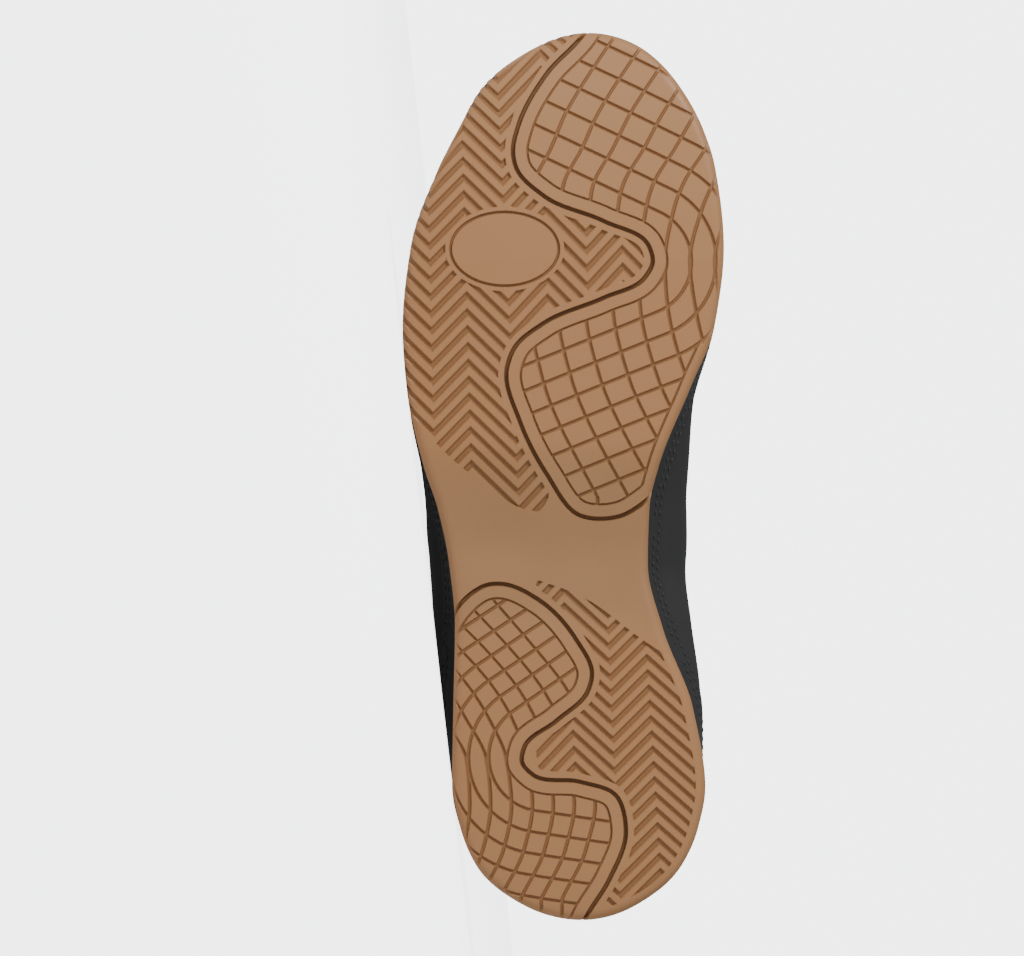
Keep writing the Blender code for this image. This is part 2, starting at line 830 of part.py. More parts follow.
def lay_on_outer_side(pieces):
    """Turns the shoe onto the face of its hull that its weight holds down on the outer side."""
    points = np.concatenate([shape_of(piece)[0] for piece in pieces])
    weighed = [weight_of(piece, WEIGHTS[piece.name]) for piece in pieces if piece.name in WEIGHTS]
    centre = Vector(sum(w[1] for w in weighed) / sum(w[0] for w in weighed))
    bm = bmesh.new()
    for point in points:
        bm.verts.new(point)
    bmesh.ops.convex_hull(bm, input=list(bm.verts))
    bmesh.ops.recalc_face_normals(bm, faces=bm.faces)
    down, best = None, 0.0
    for face in bm.faces:
        if face.normal.y > -0.8:
            continue
        corners = [v.co for v in face.verts]
        room = min(
            (centre - a).dot(face.normal.cross(b - a).normalized())
            for a, b in zip(corners, corners[1:] + corners[:1])
        )
        if room > best:
            down, best = face.normal.copy(), room
    bm.free()
    toe = (Vector((1, 0, 0)) - down.x * down).normalized()
    turn = Matrix((-toe, (-down).cross(-toe), -down))
    turned = points @ np.array(turn).T
    low, high = turned.min(axis=0), turned.max(axis=0)
    shift = Vector((-(low[0] + high[0]) / 2, -(low[1] + high[1]) / 2, -low[2]))
    shoe.matrix_world = Matrix.Translation(shift) @ turn.to_4x4()


build_outsole()
build_insole()
punch_lace_holes(build_upper())
build_tongue()
build_laces()
lay_on_outer_side([piece for piece in shoe.children if not piece.hide_render])
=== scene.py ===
import json
import math

import bmesh
import bpy
import numpy as np
from mathutils import Matrix, Vector


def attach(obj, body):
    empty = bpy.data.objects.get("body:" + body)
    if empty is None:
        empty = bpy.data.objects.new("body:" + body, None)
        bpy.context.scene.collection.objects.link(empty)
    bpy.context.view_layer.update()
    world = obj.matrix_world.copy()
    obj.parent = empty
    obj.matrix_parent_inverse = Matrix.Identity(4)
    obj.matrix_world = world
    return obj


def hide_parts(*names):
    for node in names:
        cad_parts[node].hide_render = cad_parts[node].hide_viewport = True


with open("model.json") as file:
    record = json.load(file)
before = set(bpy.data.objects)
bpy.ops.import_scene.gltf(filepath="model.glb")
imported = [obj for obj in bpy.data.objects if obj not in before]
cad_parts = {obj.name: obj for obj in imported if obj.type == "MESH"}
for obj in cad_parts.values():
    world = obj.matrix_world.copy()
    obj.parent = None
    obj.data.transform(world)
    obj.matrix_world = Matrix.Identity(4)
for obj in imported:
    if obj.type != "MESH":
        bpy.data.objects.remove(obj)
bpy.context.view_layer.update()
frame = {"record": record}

# The shoe as it lies
# A right shoe of about EU 42 2/3 lies on its outer side. Its own axes run from the heel to the
# toe, towards the inner side and up from the sole; two flat spots of the tread give them.
SOLE_LENGTH = 0.290
BALL_WIDTH = 0.104
HEEL_SPOT = (0.21 * SOLE_LENGTH, 0.17 * BALL_WIDTH)
FORE_SPOT = (0.66 * SOLE_LENGTH, -0.33 * BALL_WIDTH)

spots = {mount["name"]: mount for mount in frame["record"]["mounts"]}
heel_spot = Vector(spots["heel_tread"]["pos_m"])
between = Vector(spots["forefoot_tread"]["pos_m"]) - heel_spot
shoe_up = -Vector(spots["heel_tread"]["axis"]).normalized()
ahead, aside = FORE_SPOT[0] - HEEL_SPOT[0], FORE_SPOT[1] - HEEL_SPOT[1]
toe_way = (ahead * between - aside * shoe_up.cross(between)).normalized()
inner_way = shoe_up.cross(toe_way)
heel_point = heel_spot - HEEL_SPOT[0] * toe_way - HEEL_SPOT[1] * inner_way
lie = Matrix.Translation(heel_point) @ Matrix((toe_way, inner_way, shoe_up)).transposed().to_4x4()

# Camera
# A long lens looks squarely at the tread, with the toe at the top of the picture, so it is
# rolled on its side. The heel's tip stands in row 922 and the waist's middle in column 570.
PHOTO_WIDTH, PHOTO_HEIGHT = 1024, 956
HEEL_ROW, MIDDLE_COLUMN, SOLE_ROWS = 922, 570, 892
CAMERA_DISTANCE = 1.8
SENSOR_WIDTH = 36.0

pixel = SOLE_LENGTH / SOLE_ROWS
aim = lie @ Vector((
    (HEEL_ROW - PHOTO_HEIGHT / 2) * pixel,
    (PHOTO_WIDTH / 2 - MIDDLE_COLUMN) * pixel,
    0.0,
))
lens = bpy.data.cameras.new("camera")
lens.sensor_width = SENSOR_WIDTH
lens.lens = SENSOR_WIDTH * CAMERA_DISTANCE / (PHOTO_WIDTH * pixel)
camera = bpy.data.objects.new("camera", lens)
looking = Matrix((inner_way, toe_way, -shoe_up)).transposed().to_4x4()
camera.matrix_world = Matrix.Translation(aim - CAMERA_DISTANCE * shoe_up) @ looking
bpy.context.collection.objects.link(camera)
bpy.context.scene.camera = camera

# Floor and light
# A pale sweep under an even sky, with a soft lamp from above and towards the toe, and a weak wide
# one from behind the heel. What the camera sees of floor and sky is evened out to one pale grey.
FLOOR_SIZE = 12.0
SKY = (0.86, 0.872, 0.88)
SKY_STRENGTH = 0.42
SEEN_STRENGTH = 5.2
FLOOR_GLOW = 3.85
FLOOR_BOUNCE = 0.22
LAMPS = (
    # name, place, size, power
    ("key_light", (-1.35, -1.25, 1.15), 0.55, 40),
    ("fill_light", (1.6, -2.2, 1.4), 1.6, 9),
)
LIT_POINT = Vector((0, 0, 0.04))

for name, place, size, power in LAMPS:
    light = bpy.data.lights.new(name, "AREA")
    light.shape = "DISK"
    light.size = size
    light.energy = power
    holder = bpy.data.objects.new(name, light)
    aimed = (LIT_POINT - Vector(place)).to_track_quat("-Z", "Y").to_matrix().to_4x4()
    holder.matrix_world = Matrix.Translation(place) @ aimed
    bpy.context.collection.objects.link(holder)

sky = bpy.data.worlds.new("sky")
sky.use_nodes = True
sky_nodes, sky_links = sky.node_tree.nodes, sky.node_tree.links
lit_sky, seen_sky = sky_nodes["Background"], sky_nodes.new("ShaderNodeBackground")
for background, strength in ((lit_sky, SKY_STRENGTH), (seen_sky, SEEN_STRENGTH)):
    background.inputs["Color"].default_value = (*SKY, 1)
    background.inputs["Strength"].default_value = strength
path_kind, both_skies = sky_nodes.new("ShaderNodeLightPath"), sky_nodes.new("ShaderNodeMixShader")
sky_links.new(path_kind.outputs["Is Camera Ray"], both_skies.inputs[0])
sky_links.new(lit_sky.outputs[0], both_skies.inputs[1])
sky_links.new(seen_sky.outputs[0], both_skies.inputs[2])
sky_links.new(both_skies.outputs[0], sky_nodes["World Output"].inputs["Surface"])
bpy.context.scene.world = sky

sweep = bmesh.new()
bmesh.ops.create_grid(sweep, x_segments=1, y_segments=1, size=FLOOR_SIZE / 2)
floor_mesh = bpy.data.meshes.new("floor")
sweep.to_mesh(floor_mesh)
sweep.free()
floor_paint = bpy.data.materials.new("floor_paint")
floor_paint.use_nodes = True
floor_shader = floor_paint.node_tree.nodes["Principled BSDF"]
floor_shader.inputs["Base Color"].default_value = (*SKY, 1)
floor_shader.inputs["Roughness"].default_value = 1.0
floor_shader.inputs["Specular IOR Level"].default_value = 0.0
floor_shader.inputs["Emission Color"].default_value = (*SKY, 1)
floor_nodes, floor_links = floor_paint.node_tree.nodes, floor_paint.node_tree.links
seen, glow = floor_nodes.new("ShaderNodeLightPath"), floor_nodes.new("ShaderNodeMath")
glow.operation = "MULTIPLY_ADD"
glow.inputs[1].default_value = FLOOR_GLOW
glow.inputs[2].default_value = FLOOR_BOUNCE
floor_links.new(seen.outputs["Is Camera Ray"], glow.inputs[0])
floor_links.new(glow.outputs[0], floor_shader.inputs["Emission Strength"])
floor_mesh.materials.append(floor_paint)
floor = bpy.data.objects.new("floor", floor_mesh)
bpy.context.collection.objects.link(floor)

# Outsole
# One cup sole of gum rubber, moulded in a two-part tool: a tread with two smooth-rimmed pads
# scored by curved lines, herringbone beside them, a bare waist, and a stepped side wall.
TREAD_THICKNESS = 0.009
HEEL_LIFT = 0.004
CUP_WALL = 0.003
EDGE_RADIUS = 0.003
SIDE_STEP = 0.0008
SIDE_HEIGHT = 0.020
SIDE_LEDGE = 0.6
TOE_SPRING = 0.011
ARCH_RISE = 0.002
WAIST_HOLLOW = 0.0012
GAP = 0.0003
OUTER, INNER = -1, 1

# Outline of the sole: share of SOLE_LENGTH from the heel, then shares of BALL_WIDTH from the
# line through the middle of the waist to each side
OUTLINE = (
    # along, outer, inner
    (0.000, -0.037, 0.037),
    (0.016, 0.140, 0.203),
    (0.060, 0.290, 0.347),
    (0.105, 0.344, 0.403),
    (0.150, 0.369, 0.425),
    (0.240, 0.365, 0.385),
    (0.330, 0.360, 0.290),
    (0.400, 0.378, 0.245),
    (0.464, 0.415, 0.250),
    (0.509, 0.457, 0.278),
    (0.600, 0.512, 0.380),
    (0.666, 0.524, 0.453),
    (0.756, 0.499, 0.483),
    (0.845, 0.412, 0.457),
    (0.890, 0.349, 0.419),
    (0.935, 0.280, 0.353),
    (0.980, 0.124, 0.2375),
    (1.000, -0.060, 0.060),
)

# Underside over the floor, as shares of TOE_SPRING in front and of ARCH_RISE behind, and the
# height of the side wall over it, as a share of SIDE_HEIGHT
TOE_RISE = ((0.74, 0.00), (0.80, 0.07), (0.88, 0.32), (0.94, 0.62), (1.00, 1.00))
WAIST_RISE = (
    (0.00, 0.80), (0.03, 0.25), (0.07, 0.00), (0.30, 0.00),
    (0.36, 0.45), (0.42, 1.00), (0.48, 0.45), (0.53, 0.00),
)
SIDE_WALL = (
    (0.00, 1.22), (0.12, 1.15), (0.26, 0.98), (0.42, 0.80),
    (0.56, 0.90), (0.74, 0.98), (0.88, 1.05), (1.00, 1.12),
)

# The deep channels round the pads: shares of SOLE_LENGTH and BALL_WIDTH
FORE_CHANNEL = (
    # along, across
    (1.050, 0.110),
    (0.998, 0.044),
    (0.952, -0.072),
    (0.892, -0.162),
    (0.864, -0.178),
    (0.846, -0.169),
    (0.814, -0.084),
    (0.785, 0.106),
    (0.757, 0.247),
    (0.739, 0.259),
    (0.722, 0.235),
    (0.699, 0.106),
    (0.670, -0.084),
    (0.642, -0.175),
    (0.620, -0.197),
    (0.560, -0.156),
    (0.501, -0.072),
    (0.455, 0.031),
    (0.454, 0.156),
    (0.475, 0.253),
    (0.500, 0.340),
)
HEEL_CHANNEL = (
    # along, across
    (0.292, -0.470),
    (0.330, -0.395),
    (0.354, -0.347),
    (0.369, -0.302),
    (0.377, -0.258),
    (0.378, -0.216),
    (0.360, -0.097),
    (0.316, 0.019),
    (0.276, 0.069),
    (0.258, 0.056),
    (0.225, -0.041),
    (0.194, -0.144),
    (0.178, -0.150),
    (0.165, -0.119),
    (0.156, 0.034),
    (0.141, 0.144),
    (0.102, 0.175),
    (0.046, 0.122),
    (0.003, 0.050),
    (-0.040, 0.010),
)

# Lines of the pads, in millimetres of the shoe. The bent lines run round the inlet of the
# herringbone at an even distance from two straight arms that meet in a corner.
FORE_BEND = {"corner": (214.5, 21.8), "toe_arm": 25.5, "heel_arm": 22.0, "first": 17.7,
             "toe_pitch": 8.45, "heel_pitch": 7.64, "opens": -1}
HEEL_BEND = {"corner": (53.5, -8.6), "toe_arm": 34.5, "heel_arm": 8.4, "first": 17.8,
             "toe_pitch": 6.15, "heel_pitch": 7.0, "opens": 1}

# The cross lines: where one of them runs, and how far apart they lie, measured across the shoe
FORE_CROSS = (
    # along, across, pitch
    (297.0, 86.5, 11.0),
    (283.0, 76.4, 10.9),
    (263.9, 62.7, 10.6),
    (251.2, 54.3, 10.1),
    (240.2, 46.8, 9.75),
    (231.4, 42.9, 9.1),
    (214.5, 39.0, 8.1),
    (198.3, 41.0, 9.0),
    (176.2, 47.5, 9.4),
    (163.2, 54.3, 9.75),
    (137.8, 69.6, 10.1),
)
HEEL_CROSS = (
    # along, across, pitch
    (114.0, -73.4, 10.0),
    (100.8, -58.2, 9.1),
    (88.4, -43.9, 8.2),
    (75.4, -32.3, 7.8),
    (65.7, -26.3, 7.5),
    (53.0, -20.8, 6.5),
    (37.7, -19.0, 6.8),
    (23.7, -21.5, 6.7),
    (7.2, -29.6, 6.75),
)

# Herringbone: the lines of its points, given across the shoe at two stations, and its borders
FORE_POINTS = (
    # way, at the toe end, at the heel end
    (1, -58.0, -56.0),
    (-1, -46.5, -44.2),
    (1, -35.1, -32.2),
    (-1, -22.8, -17.6),
    (1, -8.8, -5.9),
    (-1, 4.2, 7.2),
    (1, 15.9, 18.9),
    (-1, 27.0, 30.0),
)
FORE_POINT_STATIONS = (258.0, 156.0)
HEEL_POINTS = (
    (-1, -14.0, -10.0),
    (1, -1.6, 4.5),
    (-1, 12.2, 16.2),
    (1, 24.2, 29.8),
    (-1, 38.0, 42.0),
    (1, 52.0, 56.0),
)
HEEL_POINT_STATIONS = (100.0, 12.0)
FORE_RIB_PITCH = 5.5
HEEL_RIB_PITCH = 5.3
FORE_BORDER = (
    # along, across
    (172.0, -64.0),
    (157.5, -46.0),
    (148.0, -36.0),
    (142.5, -28.4),
    (133.4, -13.0),
    (133.2, -9.8),
    (137.0, -7.4),
    (150.0, 0.0),
)
HEEL_BORDER = (
    # along, across
    (113.0, -16.0),
    (109.6, -6.4),
    (107.0, 1.0),
    (90.8, 24.8),
    (80.0, 41.0),
)
PLAQUE_MIDDLE = (218.6, -21.2)
PLAQUE_HALF = (12.0, 17.6)

# Grooves, in millimetres: width at the face, share of it that is floor, and depth
CHANNEL_GROOVE = (1.60, 0.50, 1.5)
THIN_GROOVE = (0.85, 0.40, 0.75)
PAD_GROOVE = (1.30, 0.40, 0.75)
RIB_GROOVE = (2.15, 0.42, 0.9)
# Share of the rib grooves' depth that counts for their painted shade
RIB_SHADE = 0.75
PLAQUE_GROOVE = (1.10, 0.45, 0.80)

MARGIN = 2.6
THIN_INSET = 4.7
RIM_INSET = 3.6
RIM_FROM = 188.0
WAIST = 118.0
END_WALL = 0.35
CELL = 1.3
FAR, TRIM_REACH = 99.0, 30.0
WAIST_MIDDLE, WAIST_REACH, WAIST_FADE = 124.0, 16.0, 24.0

GUM = (0.290, 0.146, 0.060)
GUM_LIGHT = (0.336, 0.174, 0.078)
# Paler gum for the pads: painted light, so that the recessed waist looks shaded
GUM_PAINTED_LIGHT = (0.385, 0.186, 0.078)
# Dark gum for the grooves: painted shade, laid on by their depth
GUM_GROOVE_SHADE = (0.150, 0.062, 0.017)


def through(places, values):
    """A smooth line through a table's rows that never overshoots them."""
    x, y = np.array(places, float), np.array(values, float)
    step = np.diff(x)
    rise = np.diff(y) / step
    slope = np.concatenate([rise[:1], np.zeros(len(x) - 2), rise[-1:]])
    for i in range(1, len(x) - 1):
        if rise[i - 1] * rise[i] > 0:
            before, after = 2 * step[i] + step[i - 1], step[i] + 2 * step[i - 1]
            slope[i] = (before + after) / (before / rise[i - 1] + after / rise[i])

    def at(place):
        place = np.clip(place, x[0], x[-1])
        i = np.clip(np.searchsorted(x, place) - 1, 0, len(step) - 1)
        t = (place - x[i]) / step[i]
        start = (1 + 2 * t) * (1 - t) ** 2 * y[i] + t * (1 - t) ** 2 * step[i] * slope[i]
        end = t * t * (3 - 2 * t) * y[i + 1] - t * t * (1 - t) * step[i] * slope[i + 1]
        return start + end

    return at


def column(table, number):
    return through([row[0] for row in table], [row[number] for row in table])


def unit(rows):
    """Vectors, each brought to a length of one."""
    return rows / np.linalg.norm(rows, axis=-1, keepdims=True)


def angle_of(along):
    return np.arccos(1 - 2 * np.clip(along, 0, 1))


def along_of(angle):
    return (1 - np.cos(angle)) / 2


def outline_side(side):
    """Half of the outline over the angle, carried on past both tips into the other half."""
    own, other = (1, 2) if side == OUTER else (2, 1)
    angles = [angle_of(row[0]) for row in OUTLINE]
    values = [side * row[own] for row in OUTLINE]
    heel = (-angles[1], -side * OUTLINE[1][other])
    toe = (2 * math.pi - angles[-2], -side * OUTLINE[-2][other])
    return through([heel[0], *angles, toe[0]], [heel[1], *values, toe[1]])


outline_of = {side: outline_side(side) for side in (OUTER, INNER)}
toe_rise, waist_rise, side_wall = column(TOE_RISE, 1), column(WAIST_RISE, 1), column(SIDE_WALL, 1)


def underside(along):
    return TOE_SPRING * toe_rise(along) + ARCH_RISE * waist_rise(along)


def rim(along):
    return underside(along) + SIDE_HEIGHT * side_wall(along)


def cup_floor(along):
    heel = 0.5 + 0.5 * np.cos(np.pi * np.clip((along - 0.25) / 0.3, 0, 1))
    return TOE_SPRING * toe_rise(along) + TREAD_THICKNESS + HEEL_LIFT * heel


def loop_of_outline(count):
    """The outline's points in plan, outer side first, and its outward normals."""
    half = np.linspace(0, math.pi, count + 1)
    places = []
    for side, angles in ((OUTER, half), (INNER, half[-2:0:-1])):
        places += [(SOLE_LENGTH * along_of(a), BALL_WIDTH * outline_of[side](a)) for a in angles]
    places = np.array(places)
    course = unit(np.roll(places, -1, axis=0) - np.roll(places, 1, axis=0))
    return places, np.stack([course[:, 1], -course[:, 0]], axis=1)


EDGE, OUTWARD = loop_of_outline(700)
if ((EDGE - EDGE.mean(axis=0)) * OUTWARD).sum() < 0:
    OUTWARD = -OUTWARD


def nearest(points, others):
    """The number of the nearest other point to each point."""
    return np.concatenate([
        ((part[:, None] - others[None]) ** 2).sum(axis=2).argmin(axis=1)
        for part in np.array_split(points, 1 + len(points) // 800)
    ])


def by_edge(points):
    """How far outside the outline plan points lie, the outline's points next to them, and its way."""
    near = nearest(points, EDGE)
    out = OUTWARD[near]
    distance = ((points - EDGE[near]) * out).sum(axis=1)
    return distance, points - distance[:, None] * out, out


def run_of(path):
    """How far along a path each of its points lies."""
    return np.concatenate([[0], np.cumsum(np.linalg.norm(np.diff(path, axis=0), axis=1))])


def smooth_path(knots, spacing=0.4):
    """Close points of a smooth curve through a table's rows."""
    knots = np.array(knots, float)
    run = run_of(knots)
    slope = np.gradient(knots, run, axis=0)
    made = []
    for i in range(len(knots) - 1):
        step = run[i + 1] - run[i]
        t = np.linspace(0, 1, max(2, int(step / spacing)), endpoint=False)[:, None]
        made.append(
            (1 + 2 * t) * (1 - t) ** 2 * knots[i] + t * (1 - t) ** 2 * step * slope[i]
            + t * t * (3 - 2 * t) * knots[i + 1] - t * t * (1 - t) * step * slope[i + 1]
        )
    return np.concatenate([*made, knots[-1:]])


def off_path(points, path):
    """Signed distance of plan points from a path, positive on the right of its course."""
    course = unit(np.gradient(path, axis=0))
    right = np.stack([course[:, 1], -course[:, 0]], axis=1)
    near = nearest(points, path)
    return ((points - path[near]) * right[near]).sum(axis=1)


def score(sheet, reading, inside, repeat):
    """Cuts a sheet's faces where a reading is nought, or any whole number if it repeats."""
    readings = {vert: reading(vert) for vert in sheet.verts if inside(vert)}
    marked = []
    for edge in list(sheet.edges):
        start, end = edge.verts
        if start not in readings or end not in readings:
            continue
        a, b = readings[start], readings[end]
        level = math.ceil(min(a, b)) if repeat else 0.0
        if not min(a, b) <= level <= max(a, b) or abs(b - a) < 1e-9:
            continue
        share = (level - a) / (b - a)
        if share < 0.02:
            marked.append(start)
        elif share > 0.98:
            marked.append(end)
        else:
            marked.append(bmesh.utils.edge_split(edge, start, share)[1])
    bmesh.ops.connect_verts(sheet, verts=list(dict.fromkeys(marked)))


def bend_lines(x, y, bend):
    """The number of the bent line at a plan point, and the pitch there."""
    dx, dy = x - bend["corner"][0], (y - bend["corner"][1]) * bend["opens"]
    reach = np.hypot(dx, dy)
    distances = []
    for arm, way in ((math.radians(bend["toe_arm"]), 1), (math.radians(bend["heel_arm"]), -1)):
        along = dx * way * math.sin(arm) + dy * math.cos(arm)
        across = dx * way * math.cos(arm) - dy * math.sin(arm)
        distances.append(np.where(along > 0, across, reach))
    distance = np.where(dx > 0, *distances)
    turn = np.clip(0.5 + np.arctan2(dx, -dy) / math.pi, 0, 1)
    pitch = bend["heel_pitch"] + (bend["toe_pitch"] - bend["heel_pitch"]) * turn
    return (distance - bend["first"]) / pitch, pitch


def zigzag(x, y, points, stations, pitch):
    """The number of the rib at a plan point, and the number of the line of points beside it."""
    share = (x - stations[1]) / (stations[0] - stations[1])
    lines = [heel + (toe - heel) * share for _, toe, heel in points]
    heights = [np.zeros_like(x)]
    for i in range(1, len(lines)):
        heights.append(heights[-1] + points[i][0] * (lines[i] - lines[i - 1]))
    height, place = np.zeros_like(x), np.zeros_like(x)
    for i in range(len(lines) - 1):
        part = (y - lines[i]) / (lines[i + 1] - lines[i])
        here = (part >= 0 if i else part > -FAR) & (part < 1 if i < len(lines) - 2 else part < FAR)
        height = np.where(here, heights[i] + part * (heights[i + 1] - heights[i]), height)
        place = np.where(here, i + part, place)
    return (x - height) / pitch, place


MM = 1000
QUARTER = math.pi / 2 * EDGE_RADIUS * MM
RING = QUARTER / 3
FORE_REACH, HEEL_REACH, PAD_REACH = 8.0, -0.2, 2 * RING
HEEL_SIDE = -11.0
LAST_CROSS = 4.5
PLAQUE_RIM = 1.7
SHEET_BOX = ((-22, 312), (-76, 76))


def flat_sheet(box, steps, names):
    """A flat grid over a box of plan places or shares, with a value of each name at its corners."""
    made = bmesh.new()
    bmesh.ops.create_grid(
        made, x_segments=steps[0], y_segments=steps[1], size=1,
        matrix=Matrix.Translation([sum(span) / 2 for span in box] + [0])
        @ Matrix.Diagonal([(high - low) / 2 for low, high in box] + [1, 1]),
    )
    return made, {name: made.verts.layers.float.new(name) for name in names}


def plan_sheet(cell, names):
    return flat_sheet(SHEET_BOX, [round((high - low) / cell) for low, high in SHEET_BOX], names)


FIELDS = (
    "past_edge", "border", "channel", "thin", "zone", "bend", "bend_half", "cross", "cross_half",
    "rib", "rib_half", "column", "plaque",
)
sheet, layer = plan_sheet(CELL, FIELDS)


def fill(sheet, layer, values):
    for name, numbers in values.items():
        value = layer[name]
        for vert, number in zip(sheet.verts, numbers):
            vert[value] = number


def flat_points(sheet):
    return np.array([vert.co[:2] for vert in sheet.verts])


points = flat_points(sheet)
x, y = points[:, 0], points[:, 1]
fore = x > WAIST
distance, foot, out = by_edge(points / MM)
rolled = distance * MM + EDGE_RADIUS * MM
station = np.clip(foot[:, 0] / SOLE_LENGTH, 0, 1)
wall_run = QUARTER + MM * (SIDE_LEDGE * (rim(station) - underside(station)) - EDGE_RADIUS)
scale = np.array((SOLE_LENGTH, BALL_WIDTH)) * MM
channel = np.where(
    fore,
    off_path(points, smooth_path(np.array(FORE_CHANNEL) * scale)),
    -off_path(points, smooth_path(np.array(HEEL_CHANNEL) * scale)),
)
in_rim = fore & (x < RIM_FROM)
thin = channel - THIN_INSET
thin = np.where(in_rim, np.minimum(thin, -distance * MM - RIM_INSET), thin)
across, along_plaque = (y - PLAQUE_MIDDLE[1]) / PLAQUE_HALF[1], (x - PLAQUE_MIDDLE[0]) / PLAQUE_HALF[0]
round_off = np.hypot(across, along_plaque) + 1e-6
plaque = (round_off - 1) * round_off / np.hypot(across / PLAQUE_HALF[1], along_plaque / PLAQUE_HALF[0])
fore_zone = np.minimum.reduce([
    -channel - MARGIN,
    off_path(points, smooth_path(FORE_BORDER)),
    plaque - PLAQUE_RIM,
    FORE_REACH - rolled,
])
heel_zone = np.minimum.reduce([
    -channel - MARGIN,
    -off_path(points, smooth_path(HEEL_BORDER)),
    y - HEEL_SIDE,
    HEEL_REACH - rolled,
])
bends = [bend_lines(x, y, bend) for bend in (FORE_BEND, HEEL_BEND)]
bend, bend_pitch = (np.where(fore, a, b) for a, b in zip(*bends))
crosses = [[column(table[::-1], n)(x) for n in (1, 2)] for table in (FORE_CROSS, HEEL_CROSS)]
cross_at, cross_pitch = (np.where(fore, a, b) for a, b in zip(*crosses))
cross = (y - cross_at) / cross_pitch
fill(sheet, layer, {
    "past_edge": rolled,
    "border": rolled - wall_run,
    "channel": channel,
    "thin": thin,
    "zone": np.where(fore, fore_zone, heel_zone),
    "bend": bend,
    "bend_half": PAD_GROOVE[0] / 2 / bend_pitch,
    "cross": np.where(fore, cross, np.minimum(cross, LAST_CROSS)),
    "cross_half": PAD_GROOVE[0] / 2 / (0.9 * cross_pitch),
    "plaque": plaque,
})


def between_levels(name, low, high):
    return lambda vert: low < vert[layer[name]] < high


def score_groove(groove, name, inside, half=None):
    """Cuts a sheet along both edges of a groove's floor and of its face."""
    width, floor_share, _ = groove
    for share in (-1, -floor_share, floor_share, 1):
        score(
            sheet,
            lambda vert: vert[layer[name]] + share * (vert[layer[half]] if half else width / 2),
            inside,
            repeat=half is not None,
        )


def trim(sheet, value):
    """Cuts away what lies on the positive side of a value's zero line."""
    score(sheet, lambda vert: vert[value], lambda vert: abs(vert[value]) < TRIM_REACH, repeat=False)
    beyond = [face for face in sheet.faces if max(vert[value] for vert in face.verts) > 0.05]
    bmesh.ops.delete(sheet, geom=beyond, context="FACES")


trim(sheet, layer["border"])
score(sheet, lambda vert: vert[layer["past_edge"]] / RING,
      between_levels("past_edge", -0.6 * RING, 3.6 * RING), repeat=True)

for stage in ("columns", "ribs"):
    points = flat_points(sheet)
    x, y = points[:, 0], points[:, 1]
    fore = x > WAIST
    both = [
        zigzag(x, y, FORE_POINTS, FORE_POINT_STATIONS, FORE_RIB_PITCH),
        zigzag(x, y, HEEL_POINTS, HEEL_POINT_STATIONS, HEEL_RIB_PITCH),
    ]
    ribs, places = (np.where(fore, a, b) for a, b in zip(*both))
    pitch = np.where(fore, FORE_RIB_PITCH, HEEL_RIB_PITCH) * math.sqrt(0.5)
    fill(sheet, layer, {"rib": ribs, "column": places, "rib_half": RIB_GROOVE[0] / 2 / pitch})
    if stage == "columns":
        score(sheet, lambda vert: vert[layer["column"]], between_levels("zone", -1.5, FAR), repeat=True)

for level in (0.0, END_WALL):
    score(sheet, lambda vert: vert[layer["zone"]] - level, between_levels("zone", -3, 3), repeat=False)
score_groove(RIB_GROOVE, "rib", between_levels("zone", -0.02, FAR), "rib_half")
score_groove(CHANNEL_GROOVE, "channel", between_levels("channel", -3, 3))
score_groove(THIN_GROOVE, "thin", between_levels("thin", -2.5, 2.5))


def in_pad(vert):
    return vert[layer["thin"]] > -0.3 and vert[layer["past_edge"]] < PAD_REACH + 0.1


score_groove(PAD_GROOVE, "bend", in_pad, "bend_half")
score_groove(PAD_GROOVE, "cross", in_pad, "cross_half")
score_groove(PLAQUE_GROOVE, "plaque", between_levels("plaque", -2.5, 2.5))

field = {name: np.array([vert[layer[name]] for vert in sheet.verts]) for name in FIELDS}


def groove_depth(groove, off, half):
    """Depth of a groove, in millimetres, where a point lies off its middle line."""
    _, floor_share, depth = groove
    return depth * np.clip((half - np.abs(off)) / (half * (1 - floor_share)), 0, 1)


def to_line(name):
    return field[name] - np.round(field[name])


def smooth(share):
    share = np.clip(share, 0, 1)
    return share * share * (3 - 2 * share)


points = flat_points(sheet)
distance, foot, out = by_edge(points / MM)
rolled = distance * MM + EDGE_RADIUS * MM
in_pads = (field["thin"] > 0) * np.clip((PAD_REACH - rolled) / RING, 0, 1)
ribbed = np.minimum(
    groove_depth(RIB_GROOVE, to_line("rib"), field["rib_half"]),
    RIB_GROOVE[2] * np.clip(field["zone"] / END_WALL, 0, 1),
)
lines = np.maximum.reduce([
    groove_depth(CHANNEL_GROOVE, field["channel"], CHANNEL_GROOVE[0] / 2)
    * np.clip((QUARTER + RING - rolled) / RING, 0, 1),
    groove_depth(THIN_GROOVE, field["thin"], THIN_GROOVE[0] / 2)
    * np.clip((PAD_REACH - rolled) / RING, 0, 1),
    groove_depth(PAD_GROOVE, to_line("bend"), field["bend_half"]) * in_pads,
    groove_depth(PAD_GROOVE, to_line("cross"), field["cross_half"]) * in_pads,
    groove_depth(PLAQUE_GROOVE, field["plaque"], PLAQUE_GROOVE[0] / 2),
])
carved = np.maximum(lines, ribbed)
# Painted light: the gum is painted paler away from the waist's middle, which leaves the recessed waist darker
# as painted shade
painted_pad_light = smooth((np.abs(points[:, 0] - WAIST_MIDDLE) - WAIST_REACH) / WAIST_FADE)

